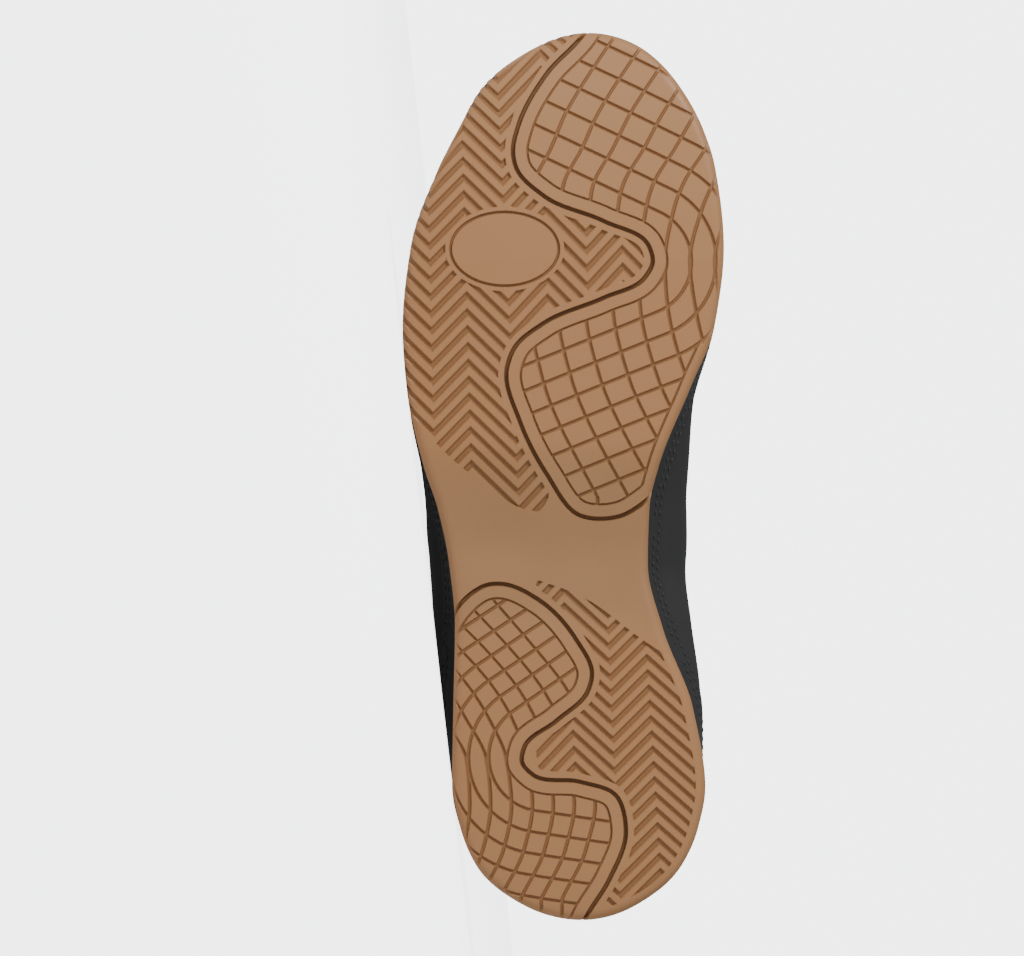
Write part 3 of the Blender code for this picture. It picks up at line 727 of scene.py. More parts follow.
turn = np.clip(rolled / MM / EDGE_RADIUS, 0, math.pi / 2)
inset = np.where(rolled > 0, EDGE_RADIUS * (1 - np.sin(turn)), -distance)
plan = foot - inset[:, None] * out
station = np.clip(plan[:, 0] / SOLE_LENGTH, 0, 1)
lift = EDGE_RADIUS * (1 - np.cos(turn)) + np.maximum(rolled - QUARTER, 0) / MM
arched = np.where((station > 0.3) & (station < 0.53), waist_rise(station), 0)
bowl = np.clip(-distance / (0.25 * BALL_WIDTH), 0, 1)
height = underside(station) + lift + WAIST_HOLLOW * arched * bowl * (2 - bowl)
inward = np.column_stack([-out * np.sin(turn)[:, None], np.cos(turn)])
placed = np.column_stack([plan, height]) + inward * (carved / MM)[:, None]
for vert, place in zip(sheet.verts, placed):
    vert.co = place


def raise_wall(sheet, edges, inset, height):
    """Carries a sheet's open edge on to an inset from the outline, at a height over the station."""
    made = bmesh.ops.extrude_edge_only(sheet, edges=edges)["geom"]
    verts = [item for item in made if isinstance(item, bmesh.types.BMVert)]
    _, foot, out = by_edge(np.array([vert.co[:2] for vert in verts]))
    plan = foot - inset * out
    heights = height(np.clip(foot[:, 0] / SOLE_LENGTH, 0, 1))
    for vert, (px, py), z in zip(verts, plan, heights):
        vert.co = (px, py, z)
    return [item for item in made if isinstance(item, bmesh.types.BMEdge) and item.is_boundary]


def up_wall(share, more=0.0):
    return lambda s: underside(s) + share * (rim(s) - underside(s)) + more


open_edge = [edge for edge in sheet.edges if edge.is_boundary]
LIP = 2 * SIDE_STEP
SOFT = 0.0003
for inset, height in (
    (0.3 * SOFT, up_wall(SIDE_LEDGE, SOFT)),
    (SIDE_STEP, up_wall(SIDE_LEDGE, 1.6 * SOFT)),
    (SIDE_STEP + SOFT, up_wall(SIDE_LEDGE, 2.6 * SOFT)),
    (SIDE_STEP + SOFT, up_wall(1, -SIDE_STEP - SOFT)),
    (SIDE_STEP + 2 * SOFT, up_wall(1, -SIDE_STEP)),
    (LIP, up_wall(1, -SOFT)),
    (LIP + SOFT, up_wall(1)),
    (CUP_WALL - 0.5 * SOFT, up_wall(1)),
    (CUP_WALL, up_wall(1, -SOFT)),
    (CUP_WALL, cup_floor),
):
    open_edge = raise_wall(sheet, open_edge, inset, height)
bmesh.ops.triangle_fill(sheet, use_beauty=True, edges=open_edge)
bmesh.ops.recalc_face_normals(sheet, faces=sheet.faces)


def piece_of(name, bm, material, replaced=(), sharp=30):
    """A finished mesh as an object of the scene, laid where the shoe lies and flat on the floor."""
    mesh = bpy.data.meshes.new(name)
    bm.to_mesh(mesh)
    bm.free()
    mesh.transform(lie)
    for vert in mesh.vertices:
        vert.co.z = max(vert.co.z, 0.0)
    mesh.materials.append(material)
    mesh.shade_smooth()
    mesh.set_sharp_from_angle(angle=math.radians(sharp))
    piece = bpy.data.objects.new(name, mesh)
    bpy.context.collection.objects.link(piece)
    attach(piece, "root")
    if replaced:
        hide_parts(*replaced)
    return piece


def new_material(name, colour, roughness):
    """A material, with its shader, its nodes and their links."""
    made = bpy.data.materials.new(name)
    made.use_nodes = True
    nodes, links = made.node_tree.nodes, made.node_tree.links
    shader = nodes["Principled BSDF"]
    shader.inputs["Base Color"].default_value = (*colour, 1)
    shader.inputs["Roughness"].default_value = roughness
    return made, shader, nodes, links


def node(nodes, kind, **settings):
    """A node with its inputs and properties set by name."""
    made = nodes.new(kind)
    for name, value in settings.items():
        words = name.replace("_", " ")
        if words in made.inputs:
            made.inputs[words].default_value = value
        else:
            setattr(made, name, value)
    return made


def colour_mix(nodes, first, second):
    """A node from one colour to another: input 0 is the share, 6 and 7 the colours, output 2 the mix."""
    made = node(nodes, "ShaderNodeMix", data_type="RGBA")
    for number, colour in ((6, first), (7, second)):
        if colour:
            made.inputs[number].default_value = (*colour, 1)
    return made


def join(links, *pairs):
    for start, end in pairs:
        links.new(start, end)


gum, gum_shader, gum_nodes, gum_links = new_material("gum_rubber", GUM, 0.5)
gum_shader.inputs["Specular IOR Level"].default_value = 0.35
place_of = node(gum_nodes, "ShaderNodeTexCoord")
cloud = node(gum_nodes, "ShaderNodeTexNoise", Scale=34.0, Detail=3.0, Roughness=0.55)
tone = colour_mix(gum_nodes, GUM, GUM_LIGHT)
# Painted light: paler gum on the pads away from the waist
pad_light_of = node(gum_nodes, "ShaderNodeAttribute", attribute_name="painted_pad_light")
pad_lit = colour_mix(gum_nodes, None, GUM_PAINTED_LIGHT)
# Painted shade: darker gum in the grooves, the more so the deeper they are
groove_shade_of = node(gum_nodes, "ShaderNodeAttribute", attribute_name="groove_shade")
groove_shade_share = node(gum_nodes, "ShaderNodeMapRange", From_Max=1.3)
groove_shaded = colour_mix(gum_nodes, None, GUM_GROOVE_SHADE)
sheen = node(gum_nodes, "ShaderNodeMapRange", To_Min=0.42, To_Max=0.62)
speck = node(gum_nodes, "ShaderNodeTexNoise", Scale=1400.0, Detail=2.0)
grain = node(gum_nodes, "ShaderNodeBump", Strength=0.12, Distance=0.0001)
join(
    gum_links,
    (place_of.outputs["Object"], cloud.inputs["Vector"]),
    (cloud.outputs["Fac"], tone.inputs[0]),
    (pad_light_of.outputs["Fac"], pad_lit.inputs[0]),
    (tone.outputs[2], pad_lit.inputs[6]),
    (groove_shade_of.outputs["Fac"], groove_shade_share.inputs["Value"]),
    (groove_shade_share.outputs[0], groove_shaded.inputs[0]),
    (pad_lit.outputs[2], groove_shaded.inputs[6]),
    (groove_shaded.outputs[2], gum_shader.inputs["Base Color"]),
    (cloud.outputs["Fac"], sheen.inputs["Value"]),
    (sheen.outputs[0], gum_shader.inputs["Roughness"]),
    (place_of.outputs["Object"], speck.inputs["Vector"]),
    (speck.outputs["Fac"], grain.inputs["Height"]),
    (grain.outputs[0], gum_shader.inputs["Normal"]),
)

outsole = piece_of("outsole_tread", sheet, gum, ["outsole"])
on_wall = np.zeros(len(outsole.data.vertices) - len(carved))
# Marks for the gum's colour: painted shade in the grooves, by their depth, and painted light on the pads away
# from the waist
for name, values in (("groove_shade", np.maximum(lines, RIB_SHADE * ribbed)), ("painted_pad_light", 0.8 * painted_pad_light)):
    mark = outsole.data.attributes.new(name, "FLOAT", "POINT")
    mark.data.foreach_set("value", np.concatenate([values, on_wall]))

# Insole
# A foam sock liner with a brushed textile face. It is die-cut and lies loose on the floor of the
# cup, its edge pressed up a little against the upper.
UPPER_WALL = 0.002
INSOLE_THICKNESS = 0.004
UPPER_INSET = CUP_WALL + GAP
INSOLE_INSET = UPPER_INSET + UPPER_WALL + 2 * GAP
INSOLE_TURN_UP = 0.3
INSOLE_CELL = 3.5

weave = bpy.data.node_groups.new("knit_weave", "ShaderNodeTree")
for name, way, kind in (("Scale", "INPUT", "NodeSocketFloat"), ("Depth", "INPUT", "NodeSocketFloat"),
                        ("Mask", "OUTPUT", "NodeSocketFloat"), ("Normal", "OUTPUT", "NodeSocketVector")):
    weave.interface.new_socket(name=name, in_out=way, socket_type=kind)
weave_in, weave_out = weave.nodes.new("NodeGroupInput"), weave.nodes.new("NodeGroupOutput")
weave_place = node(weave.nodes, "ShaderNodeTexCoord")
loops = node(weave.nodes, "ShaderNodeTexVoronoi", Randomness=0.35)
loops.feature = "SMOOTH_F1"
dip = node(weave.nodes, "ShaderNodeMapRange", From_Min=0.15, From_Max=0.6)
raised = node(weave.nodes, "ShaderNodeBump", Strength=0.6)
join(
    weave.links,
    (weave_place.outputs["Object"], loops.inputs["Vector"]),
    (weave_in.outputs["Scale"], loops.inputs["Scale"]),
    (loops.outputs["Distance"], dip.inputs["Value"]),
    (dip.outputs[0], raised.inputs["Height"]),
    (weave_in.outputs["Depth"], raised.inputs["Distance"]),
    (dip.outputs[0], weave_out.inputs["Mask"]),
    (raised.outputs[0], weave_out.inputs["Normal"]),
)


def textile(name, dark, light, roughness, scale, depth):
    """A black textile whose holes are darker than its threads."""
    made, shader, nodes, links = new_material(name, dark, roughness)
    shader.inputs["Specular IOR Level"].default_value = 0.25
    shader.inputs["Sheen Weight"].default_value = 0.15
    woven = nodes.new("ShaderNodeGroup")
    woven.node_tree = weave
    woven.inputs["Scale"].default_value, woven.inputs["Depth"].default_value = scale, depth
    colour = colour_mix(nodes, dark, light)
    join(
        links,
        (woven.outputs["Mask"], colour.inputs[0]),
        (colour.outputs[2], shader.inputs["Base Color"]),
        (woven.outputs["Normal"], shader.inputs["Normal"]),
    )
    return made


sock = textile("sock_foam", (0.012, 0.012, 0.013), (0.035, 0.035, 0.037), 0.9, 900.0, 0.00012)

liner, liner_layer = plan_sheet(INSOLE_CELL, ["past_edge"])
distance, _, _ = by_edge(flat_points(liner) / MM)
fill(liner, liner_layer, {"past_edge": (distance + INSOLE_INSET) * MM})
trim(liner, liner_layer["past_edge"])
points = flat_points(liner) / MM
distance, _, _ = by_edge(points)
turned = np.clip(1 + (distance + INSOLE_INSET) / (2 * INSOLE_THICKNESS), 0, 1) ** 2
heights = cup_floor(points[:, 0] / SOLE_LENGTH) + GAP + INSOLE_THICKNESS * (1 + INSOLE_TURN_UP * turned)
for vert, (px, py), z in zip(liner.verts, points, heights):
    vert.co = (px, py, z)
edges = [edge for edge in liner.edges if edge.is_boundary]
edges = raise_wall(liner, edges, INSOLE_INSET, lambda s: cup_floor(s) + GAP)
bmesh.ops.triangle_fill(liner, use_beauty=True, edges=edges)
bmesh.ops.recalc_face_normals(liner, faces=liner.faces)
liner.verts.layers.float.remove(liner_layer["past_edge"])
piece_of("insole_liner", liner, sock, ["insole"], sharp=50)

# Upper
# One closed shell of coated leather, lasted over the last and glued into the cup of the sole. A
# second layer is stitched over it with two rows: band, toe cap, heel counter and lace facings.
INSTEP_HEIGHT = 0.100
HEEL_HEIGHT = 0.078
LEATHER = 0.0012
OVERLAY_RISE = 0.7
OVERLAY_EDGE = 0.35
STITCH_ROWS = (1.7, 3.7)

# How far the widest line of the upper stands outside the outline of the sole, as shares of
# BALL_WIDTH, and how high it runs, as a share of the way from the rim to the top edge
BULGE = (
    # along, outer, inner, height
    (0.00, -0.034, -0.034, 0.30),
    (0.10, -0.014, -0.014, 0.30),
    (0.15, -0.004, -0.008, 0.32),
    (0.24, 0.046, 0.034, 0.36),
    (0.33, 0.074, 0.101, 0.38),
    (0.42, 0.064, 0.134, 0.36),
    (0.46, 0.044, 0.128, 0.34),
    (0.51, 0.014, 0.103, 0.32),
    (0.60, -0.002, 0.024, 0.28),
    (0.67, -0.008, -0.001, 0.26),
    (0.76, -0.012, -0.006, 0.26),
    (0.85, -0.020, -0.016, 0.28),
    (0.94, -0.030, -0.028, 0.30),
    (1.00, -0.034, -0.034, 0.30),
)

# Top edge: its height as a share of the last's height there, its half width as shares of
# BALL_WIDTH, and the lean of the wall at the edge, in degrees
TOP_EDGE = (
    # along, height, half width, lean
    (0.000, 1.000, 0.000, 90),
    (0.010, 0.996, 0.108, 90),
    (0.025, 0.988, 0.163, 90),
    (0.050, 0.960, 0.203, 90),
    (0.100, 0.865, 0.240, 89),
    (0.150, 0.765, 0.262, 88),
    (0.220, 0.670, 0.283, 87),
    (0.280, 0.665, 0.288, 85),
    (0.330, 0.735, 0.280, 78),
    (0.370, 0.840, 0.262, 60),
    (0.400, 0.915, 0.240, 40),
    (0.450, 0.865, 0.208, 31),
    (0.500, 0.810, 0.180, 25),
    (0.550, 0.765, 0.152, 20),
    (0.600, 0.728, 0.122, 15),
    (0.630, 0.708, 0.090, 9),
    (0.645, 0.700, 0.000, 0),
    (0.700, 0.645, 0.000, 0),
    (0.760, 0.585, 0.000, 0),
    (0.850, 0.520, 0.000, 0),
    (0.920, 0.475, 0.000, 0),
    (0.965, 0.425, 0.000, 0),
    (0.990, 0.378, 0.000, 0),
    (1.000, 0.340, 0.000, 0),
)
THROAT_END = 0.645
THROAT_TOP = 0.400

# Middle line of the instep over the throat, as shares of INSTEP_HEIGHT, and where the middle of
# the upper runs, as a share of BALL_WIDTH towards the inner side
INSTEP = (
    (0.290, 1.270), (0.330, 1.165), (0.365, 1.080), (0.400, 1.000), (0.450, 0.922), (0.500, 0.853),
    (0.550, 0.797), (0.600, 0.748), (0.645, 0.700), (0.700, 0.645), (0.760, 0.585),
)
MIDDLE = (
    (0.00, 0.037), (0.15, 0.020), (0.30, 0.000), (0.42, 0.010),
    (0.55, 0.035), (0.70, 0.060), (0.85, 0.080), (1.00, 0.060),
)
HEEL_CURVE = ((0.00, 0.000), (0.30, 0.034), (0.60, 0.020), (0.85, -0.008), (1.00, -0.006))

# Soft troughs where the upper bends at the toes, in millimetres
CREASES = (
    # along at the middle, along at the side, depth, half width
    (210.0, 202.0, 0.45, 3.4),
    (220.0, 211.0, 0.70, 3.6),
    (231.0, 221.0, 0.40, 3.2),
)


def round_ended(table, number):
    """A column read over the angle, so that what it draws is round at the heel and the toe."""
    return through([angle_of(row[0]) for row in table], [row[number] for row in table])


bulge_of = {OUTER: column(BULGE, 1), INNER: column(BULGE, 2)}
bulge_height = column(BULGE, 3)
edge_height, edge_half = round_ended(TOP_EDGE, 1), round_ended(TOP_EDGE, 2)
edge_lean = column(TOP_EDGE, 3)
instep_height, middle_of, heel_back = column(INSTEP, 1), column(MIDDLE, 1), column(HEEL_CURVE, 1)


def last_height(along):
    return HEEL_HEIGHT + (INSTEP_HEIGHT - HEEL_HEIGHT) * smooth((along - 0.1) / 0.3)


def outline_point(angle, side, inset):
    """A point of the sole's outline in plan, moved inwards by the inset."""
    step = 0.01
    before, at, after = (
        np.array((SOLE_LENGTH * along_of(a), BALL_WIDTH * outline_of[side](a)))
        for a in (angle - step, angle, angle + step)
    )
    course = unit(after - before)
    return at + inset * side * np.array((course[1], -course[0]))


def bezier(a, b, c, d, count):
    t = np.linspace(0, 1, count)[:, None]
    return (1 - t) ** 3 * a + 3 * t * (1 - t) ** 2 * b + 3 * t * t * (1 - t) * c + t**3 * d


def side_line(angle, side):
    """One side of the upper at a station, in y and z, from the rim of the sole to its edge."""
    along = along_of(angle)
    foot = np.array((outline_point(angle, side, UPPER_INSET)[1], rim(along)))
    top = np.array((
        BALL_WIDTH * middle_of(along) + side * BALL_WIDTH * edge_half(angle),
        last_height(along) * edge_height(angle),
    ))
    overhang = min(1.0, 3.5 * math.sin(angle)) * (BALL_WIDTH * bulge_of[side](along) + UPPER_INSET)
    widest = foot + np.array((side * overhang, bulge_height(along) * (top[1] - foot[1])))
    lean = math.radians(edge_lean(along))
    lower, higher = np.linalg.norm(widest - foot), np.linalg.norm(top - widest)
    rising = unit(np.array((0.35 * side if overhang > 0 else 0.0, 1)))
    leaving = np.array((side * math.cos(lean), -math.sin(lean)))
    below = bezier(foot, foot + 0.35 * lower * rising, widest - np.array((0, 0.35 * lower)), widest, 19)
    above = bezier(widest, widest + np.array((0, 0.42 * higher)), top + 0.42 * higher * leaving, top, 55)
    return np.concatenate([below[:-1], above])


def bridge_line(along):
    """The instep over the open throat, in y and z, from the outer edge to the inner edge."""
    angle = angle_of(along)
    middle, half = BALL_WIDTH * middle_of(along), BALL_WIDTH * edge_half(angle)
    height = last_height(along) * edge_height(angle)
    lean = math.radians(max(edge_lean(along), 4))
    crown = max(INSTEP_HEIGHT * instep_height(along) - height, 0.0)
    reach = crown / (0.75 * math.sin(lean))
    outer, inner = np.array((middle - half, height)), np.array((middle + half, height))
    over = np.array((math.cos(lean), math.sin(lean))) * reach
    back = np.array((-math.cos(lean), math.sin(lean))) * reach
    return bezier(outer, outer + over, inner + back, inner, 25)


def station_x(along):
    return UPPER_INSET + along * (SOLE_LENGTH - 2 * UPPER_INSET)


def read_at(distances, run, rows):
    """Rows of values that belong to a run, read at given distances along it."""
    return np.column_stack([np.interp(distances, run, rows[:, i]) for i in range(rows.shape[1])])


def spaced(line, distances):
    """Points of a line at given distances along it."""
    return read_at(distances, run_of(line), line)


def length_of(line):
    return float(np.linalg.norm(np.diff(line, axis=0), axis=1).sum())


STATIONS, SKIN_ROWS = 220, 90
ANGLES = np.linspace(0, math.pi, STATIONS + 1)
ANGLES[np.abs(ANGLES - angle_of(THROAT_END)).argmin()] = angle_of(THROAT_END)
ROUND_ANGLES = np.concatenate([ANGLES, ANGLES[-2::-1]])
LAST = 2 * STATIONS


def skin_column(angle, side):
    """The skin at a station from the rim to the top edge, and its length."""
    along, shares = along_of(angle), np.linspace(0, 1, SKIN_ROWS + 1)
    foot_x = outline_point(angle, side, UPPER_INSET)[0]
    line = side_line(angle, side)
    rows = spaced(line, length_of(line) * shares)
    if angle == ANGLES[-1]:
        rows[:] = rows[0]
    low, high = rim(along), last_height(along) * edge_height(angle)
    near_heel = max(0.0, 1 - along / 0.28) ** 2
    back = BALL_WIDTH * heel_back((rows[:, 1] - low) / max(high - low, 0.001)) * near_heel
    return np.column_stack([foot_x + (station_x(along) - foot_x) * shares - back, rows]), length_of(line)


columns = [skin_column(angle, OUTER) for angle in ANGLES]
columns += [skin_column(angle, INNER) for angle in ANGLES[-2::-1]]
SKIN = np.array([places for places, _ in columns])
SECTION = np.array([length for _, length in columns]) * MM

# Outward normals of the skin, made the same where its two halves meet
ahead, upward = np.gradient(SKIN, axis=0), np.gradient(SKIN, axis=1)
ahead[0] = ahead[-1] = SKIN[1] - SKIN[-2]
NORMALS = np.cross(ahead, upward)
NORMALS[STATIONS] = (0.8, 0, 0.6)
NORMALS /= np.maximum(np.linalg.norm(NORMALS, axis=2), 1e-12)[:, :, None]
closed = [k for k in range(STATIONS) if along_of(ANGLES[k]) > THROAT_END - 1e-6]
for k in closed:
    NORMALS[k, -1] = NORMALS[LAST - k, -1] = NORMALS[k, -1] + NORMALS[LAST - k, -1]
NORMALS[0] = NORMALS[LAST] = NORMALS[0] + NORMALS[LAST]
NORMALS /= np.maximum(np.linalg.norm(NORMALS, axis=2), 1e-12)[:, :, None]


def lookup(table, station, row):
    """A table's value between its stations and rows, which are given as numbers."""
    k = np.clip(np.floor(station).astype(int), 0, table.shape[0] - 2)
    j = np.clip(np.floor(row).astype(int), 0, table.shape[1] - 2)
    a, b = (station - k)[..., None], (row - j)[..., None]
    low = table[k, j] * (1 - a) + table[k + 1, j] * a
    high = table[k, j + 1] * (1 - a) + table[k + 1, j + 1] * a
    return low * (1 - b) + high * b


def skin_at(station, share, out=0.0):
    """Points of the skin at stations and shares of their sections, moved out along its normal."""
    place, normal = (lookup(table, station, share * SKIN_ROWS) for table in (SKIN, NORMALS))
    return place + np.broadcast_to(out, place.shape[:-1])[..., None] / MM * unit(normal)


# The instep over the throat, as a table of points by station and distance from its middle line
INSTEP_ALONG = np.linspace(0.30, 0.80, 126)
INSTEP_OFF = np.arange(-56, 57) / MM


def instep_row(along):
    outer, inner = (side_line(angle_of(along), side) for side in (OUTER, INNER))
    bridge = bridge_line(along) if along < THROAT_END else outer[-1:]
    whole = np.concatenate([outer[:-1], bridge, inner[-2::-1]])
    places = spaced(whole, length_of(outer) + length_of(bridge) / 2 + INSTEP_OFF)
    return np.column_stack([np.full(len(places), station_x(along)), places])


INSTEP_TABLE = np.array([instep_row(along) for along in INSTEP_ALONG])
THROAT_HALVES = np.array([length_of(bridge_line(along)) / 2 for along in INSTEP_ALONG])


def throat_half(along):
    return np.interp(along, INSTEP_ALONG, THROAT_HALVES)


def instep_surface(along, off):
    span = INSTEP_ALONG[1] - INSTEP_ALONG[0]
    return lookup(INSTEP_TABLE, (along - INSTEP_ALONG[0]) / span, (off - INSTEP_OFF[0]) * MM)


def instep_normal(along, off):
    across = instep_surface(along, off + 0.002) - instep_surface(along, off - 0.002)
    ahead = instep_surface(along + 0.008, off) - instep_surface(along - 0.008, off)
    return unit(np.cross(ahead, across))


def instep_point(along, off, rise):
    """Points over (or, with a negative rise, under) the instep's outer surface."""
    return instep_surface(along, off) + np.asarray(rise)[..., None] * instep_normal(along, off)


LACE_ROWS = 6
LACE_FRONT, LACE_BACK = 0.598, 0.420
LACE_HOLE_RADIUS = 0.002
LACE_HOLE_INSET = 0.008


def lace_row(row):
    """The station of a pair of lace holes, counted from the front of the throat."""
    return LACE_FRONT + (LACE_BACK - LACE_FRONT) * row / (LACE_ROWS - 1)


def hole_off(along):
    return throat_half(along) + LACE_HOLE_INSET


ROW_ALONG = np.array([lace_row(row) for row in range(LACE_ROWS)] * 2)
ROW_SIDE = np.array([OUTER] * LACE_ROWS + [INNER] * LACE_ROWS)
HOLES = instep_surface(ROW_ALONG, ROW_SIDE * hole_off(ROW_ALONG))

# The second layer, in millimetres of the shoe: each part is a reading that grows inwards from
# nought at its edge
BAND_HEIGHT = 12.5
TOE_CAP = {"middle": 243.0, "sweep": 40.0, "slant": 0.8}
COUNTER = {"reach": 78.0, "rise": 26.0, "slant": 0.9}
EDGE_CURVE = 1.5
FACING_WIDTH = 16.5
BLEND = 1.3
BESIDE_THROAT = [k for k in range(LAST + 1) if THROAT_TOP <= along_of(ROUND_ANGLES[k]) <= THROAT_END + 1e-6]
THROAT_EDGE = SKIN[BESIDE_THROAT, -1]


def off_points(places, others):
    """How far each place lies from the nearest of some other points."""
    return np.concatenate([
        np.linalg.norm(part[:, None] - others[None], axis=2).min(axis=1)
        for part in np.array_split(places, 1 + len(places) // 4000)
    ])


def overlay_of(place, below, share):
    """How far inside the edge of the second layer a point of the skin lies."""
    x = place[:, 0] * MM
    band = BAND_HEIGHT - below
    toe_cap = TOE_CAP["slant"] * (x - (TOE_CAP["middle"] - TOE_CAP["sweep"] * (1 - share) ** EDGE_CURVE))
    swept = COUNTER["rise"] * np.clip(1 - x / COUNTER["reach"], 0, 2) ** EDGE_CURVE
    counter = COUNTER["slant"] * (band + swept)
    facing = FACING_WIDTH - off_points(place, THROAT_EDGE) * MM
    parts = np.stack([band, toe_cap, counter, facing])
    return BLEND * np.logaddexp.reduce(np.clip(parts / BLEND, -60, 60), axis=0)


def skin_sheet(stations, rows, held_back, names):
    """A flat grid over stations and shares of the sections, with its top edge held back."""
    sheet, layer = flat_sheet(((0, LAST), (0, 1)), (stations, rows), names)
    read_skin(sheet, layer, held_back)
    near = [edge for edge in sheet.edges if max(vert[layer["hole"]] for vert in edge.verts) < 3.0]
    bmesh.ops.subdivide_edges(sheet, edges=near, cuts=2, use_grid_fill=True)
    read_skin(sheet, layer, held_back)
    score(sheet, lambda vert: vert[layer["hole"]], lambda vert: vert[layer["hole"]] < 1.5, repeat=False)
    read_skin(sheet, layer, held_back)
    inside = [face for face in sheet.faces if max(vert[layer["hole"]] for vert in face.verts) < 0.05]
    bmesh.ops.delete(sheet, geom=inside, context="FACES")
    return sheet, layer


def shares_of(points, held_back):
    """The true share of the section at flat points, its length in millimetres, and how far along it is."""
    length = np.interp(points[:, 0], np.arange(LAST + 1), SECTION)
    along = along_of(np.interp(points[:, 0], np.arange(LAST + 1), ROUND_ANGLES))
    return points[:, 1] * (1 - held_back(along) / length), length, along


def read_skin(sheet, layer, held_back):
    points = flat_points(sheet)
    share, length, along = shares_of(points, held_back)
    place = skin_at(points[:, 0], share)
    fill(sheet, layer, {"hole": (off_points(place, HOLES) - LACE_HOLE_RADIUS) * MM})
    if "overlay" in layer:
        fill(sheet, layer, {
            "overlay": overlay_of(place, share * length, share),
            "from_top": (1 - share) * length - held_back(along),
            "along": along,
        })


def crease_depth(x, share):
    """Depth of the soft troughs at a point of the skin, in millimetres."""
    depth = np.zeros_like(x)
    for at_middle, at_side, deep, half in CREASES:
        place = at_middle + (at_side - at_middle) * (1 - share) / 0.6
        off = (x - place) / half
        depth += deep * (np.exp(-off**2) - 0.45 * np.exp(-((np.abs(off) - 1.9) ** 2) / 0.6))
    return depth * smooth((share - 0.35) / 0.35)


def wrap_skin(sheet, held_back, out):
    """Lays a flat sheet over the skin, carries it down to the floor of the cup and closes it."""
    points = flat_points(sheet)
    share, _, _ = shares_of(points, held_back)
    foot_edges = [edge for edge in sheet.edges if edge.is_boundary and max(v.co.y for v in edge.verts) < 1e-6]
    for vert, place in zip(sheet.verts, skin_at(points[:, 0], share, out)):
        vert.co = place
    made = bmesh.ops.extrude_edge_only(sheet, edges=foot_edges)["geom"]
    for vert in (item for item in made if isinstance(item, bmesh.types.BMVert)):
        vert.co.z = cup_floor(vert.co.x / SOLE_LENGTH) + GAP
    bmesh.ops.remove_doubles(sheet, verts=sheet.verts, dist=2e-5)


COLLAR_SEAM = 7.0
COLLAR_FRONT = 0.365


def leather_back(along):
    return COLLAR_SEAM * smooth((COLLAR_FRONT - along) / 0.05)


shell, shell_layer = skin_sheet(LAST, 60, leather_back, ("hole", "overlay", "from_top", "along"))
for level in (0.0, OVERLAY_EDGE, *STITCH_ROWS):
    score(shell, lambda vert: vert[shell_layer["overlay"]] - level,
          lambda vert: abs(vert[shell_layer["overlay"]] - level) < 4, repeat=False)
EDGE_STITCH = 2.4
NEAR_OPENING = 6.0
STITCH_DENT = (0.15, 0.5)


def near_opening(vert):
    return vert[shell_layer["from_top"]] < NEAR_OPENING and vert[shell_layer["along"]] < THROAT_END


score(shell, lambda vert: vert[shell_layer["from_top"]] - EDGE_STITCH, near_opening, repeat=False)

points = flat_points(shell)
share, _, _ = shares_of(points, leather_back)
overlay = np.array([vert[shell_layer["overlay"]] for vert in shell.verts])
x = skin_at(points[:, 0], share)[:, 0] * MM
out = OVERLAY_RISE * np.clip(overlay / OVERLAY_EDGE, 0, 1) - crease_depth(x, share)
for row in STITCH_ROWS:
    out -= STITCH_DENT[0] * np.exp(-((overlay - row) / STITCH_DENT[1]) ** 2)
out *= smooth(share / 0.06)


def level_chains(sheet, on_level):
    """The runs of edges whose two ends both lie on a level, as lists of corners."""
    links = {}
    for edge in sheet.edges:
        a, b = edge.verts
        if on_level(a) and on_level(b):
            links.setdefault(a, []).append(b)
            links.setdefault(b, []).append(a)
    chains, used = [], set()
    for start in sorted(links, key=lambda vert: (len(links[vert]) != 1, vert.index)):
        if start in used:
            continue
        chain = [start]
        used.add(start)
        while True:
            ahead = [vert for vert in links[chain[-1]] if vert not in used]
            if not ahead:
                break
            chain.append(ahead[0])
            used.add(ahead[0])
        if len(chain) > 3:
            chains.append(chain)
    return chains


shell.verts.index_update()
station_of = {vert: vert.co.x for vert in shell.verts}
share_of = dict(zip(shell.verts, share))
out_of = dict(zip(shell.verts, out))
stitch_paths = []
levels = [("overlay", row) for row in STITCH_ROWS] + [("from_top", EDGE_STITCH)]
for name, row in levels:
    value = shell_layer[name]
    for chain in level_chains(shell, lambda vert: abs(vert[value] - row) < 2e-3
                              and (name == "overlay" or near_opening(vert))):
        stations = np.array([station_of[vert] for vert in chain])
        shares = np.array([share_of[vert] for vert in chain])
        rises = np.array([out_of[vert] for vert in chain])
        stitch_paths.append((skin_at(stations, shares, rises), skin_at(stations, shares, rises + 1)))

for name in ("hole", "from_top", "along"):
    shell.verts.layers.float.remove(shell.verts.layers.float[name])
fill(shell, shell.verts.layers.float, {"overlay": np.clip(overlay / OVERLAY_EDGE, 0, 1)})
wrap_skin(shell, leather_back, out)

LEATHER_DARK, LEATHER_LIGHT = (0.016, 0.016, 0.017), (0.027, 0.027, 0.028)
leather, leather_shader, leather_nodes, leather_links = new_material("black_leather", LEATHER_DARK, 0.5)
leather_shader.inputs["Specular IOR Level"].default_value = 0.4
leather_place = node(leather_nodes, "ShaderNodeTexCoord")
pebble = node(leather_nodes, "ShaderNodeTexVoronoi", Scale=1100.0)
pebble.feature = "SMOOTH_F1"
wear = node(leather_nodes, "ShaderNodeTexNoise", Scale=45.0, Detail=4.0)
layer_of = node(leather_nodes, "ShaderNodeAttribute", attribute_name="overlay")
gloss = node(leather_nodes, "ShaderNodeMapRange", To_Min=0.68, To_Max=0.46)
pressed = node(leather_nodes, "ShaderNodeBump", Strength=0.35, Distance=0.0001)
shade = colour_mix(leather_nodes, LEATHER_DARK, LEATHER_LIGHT)
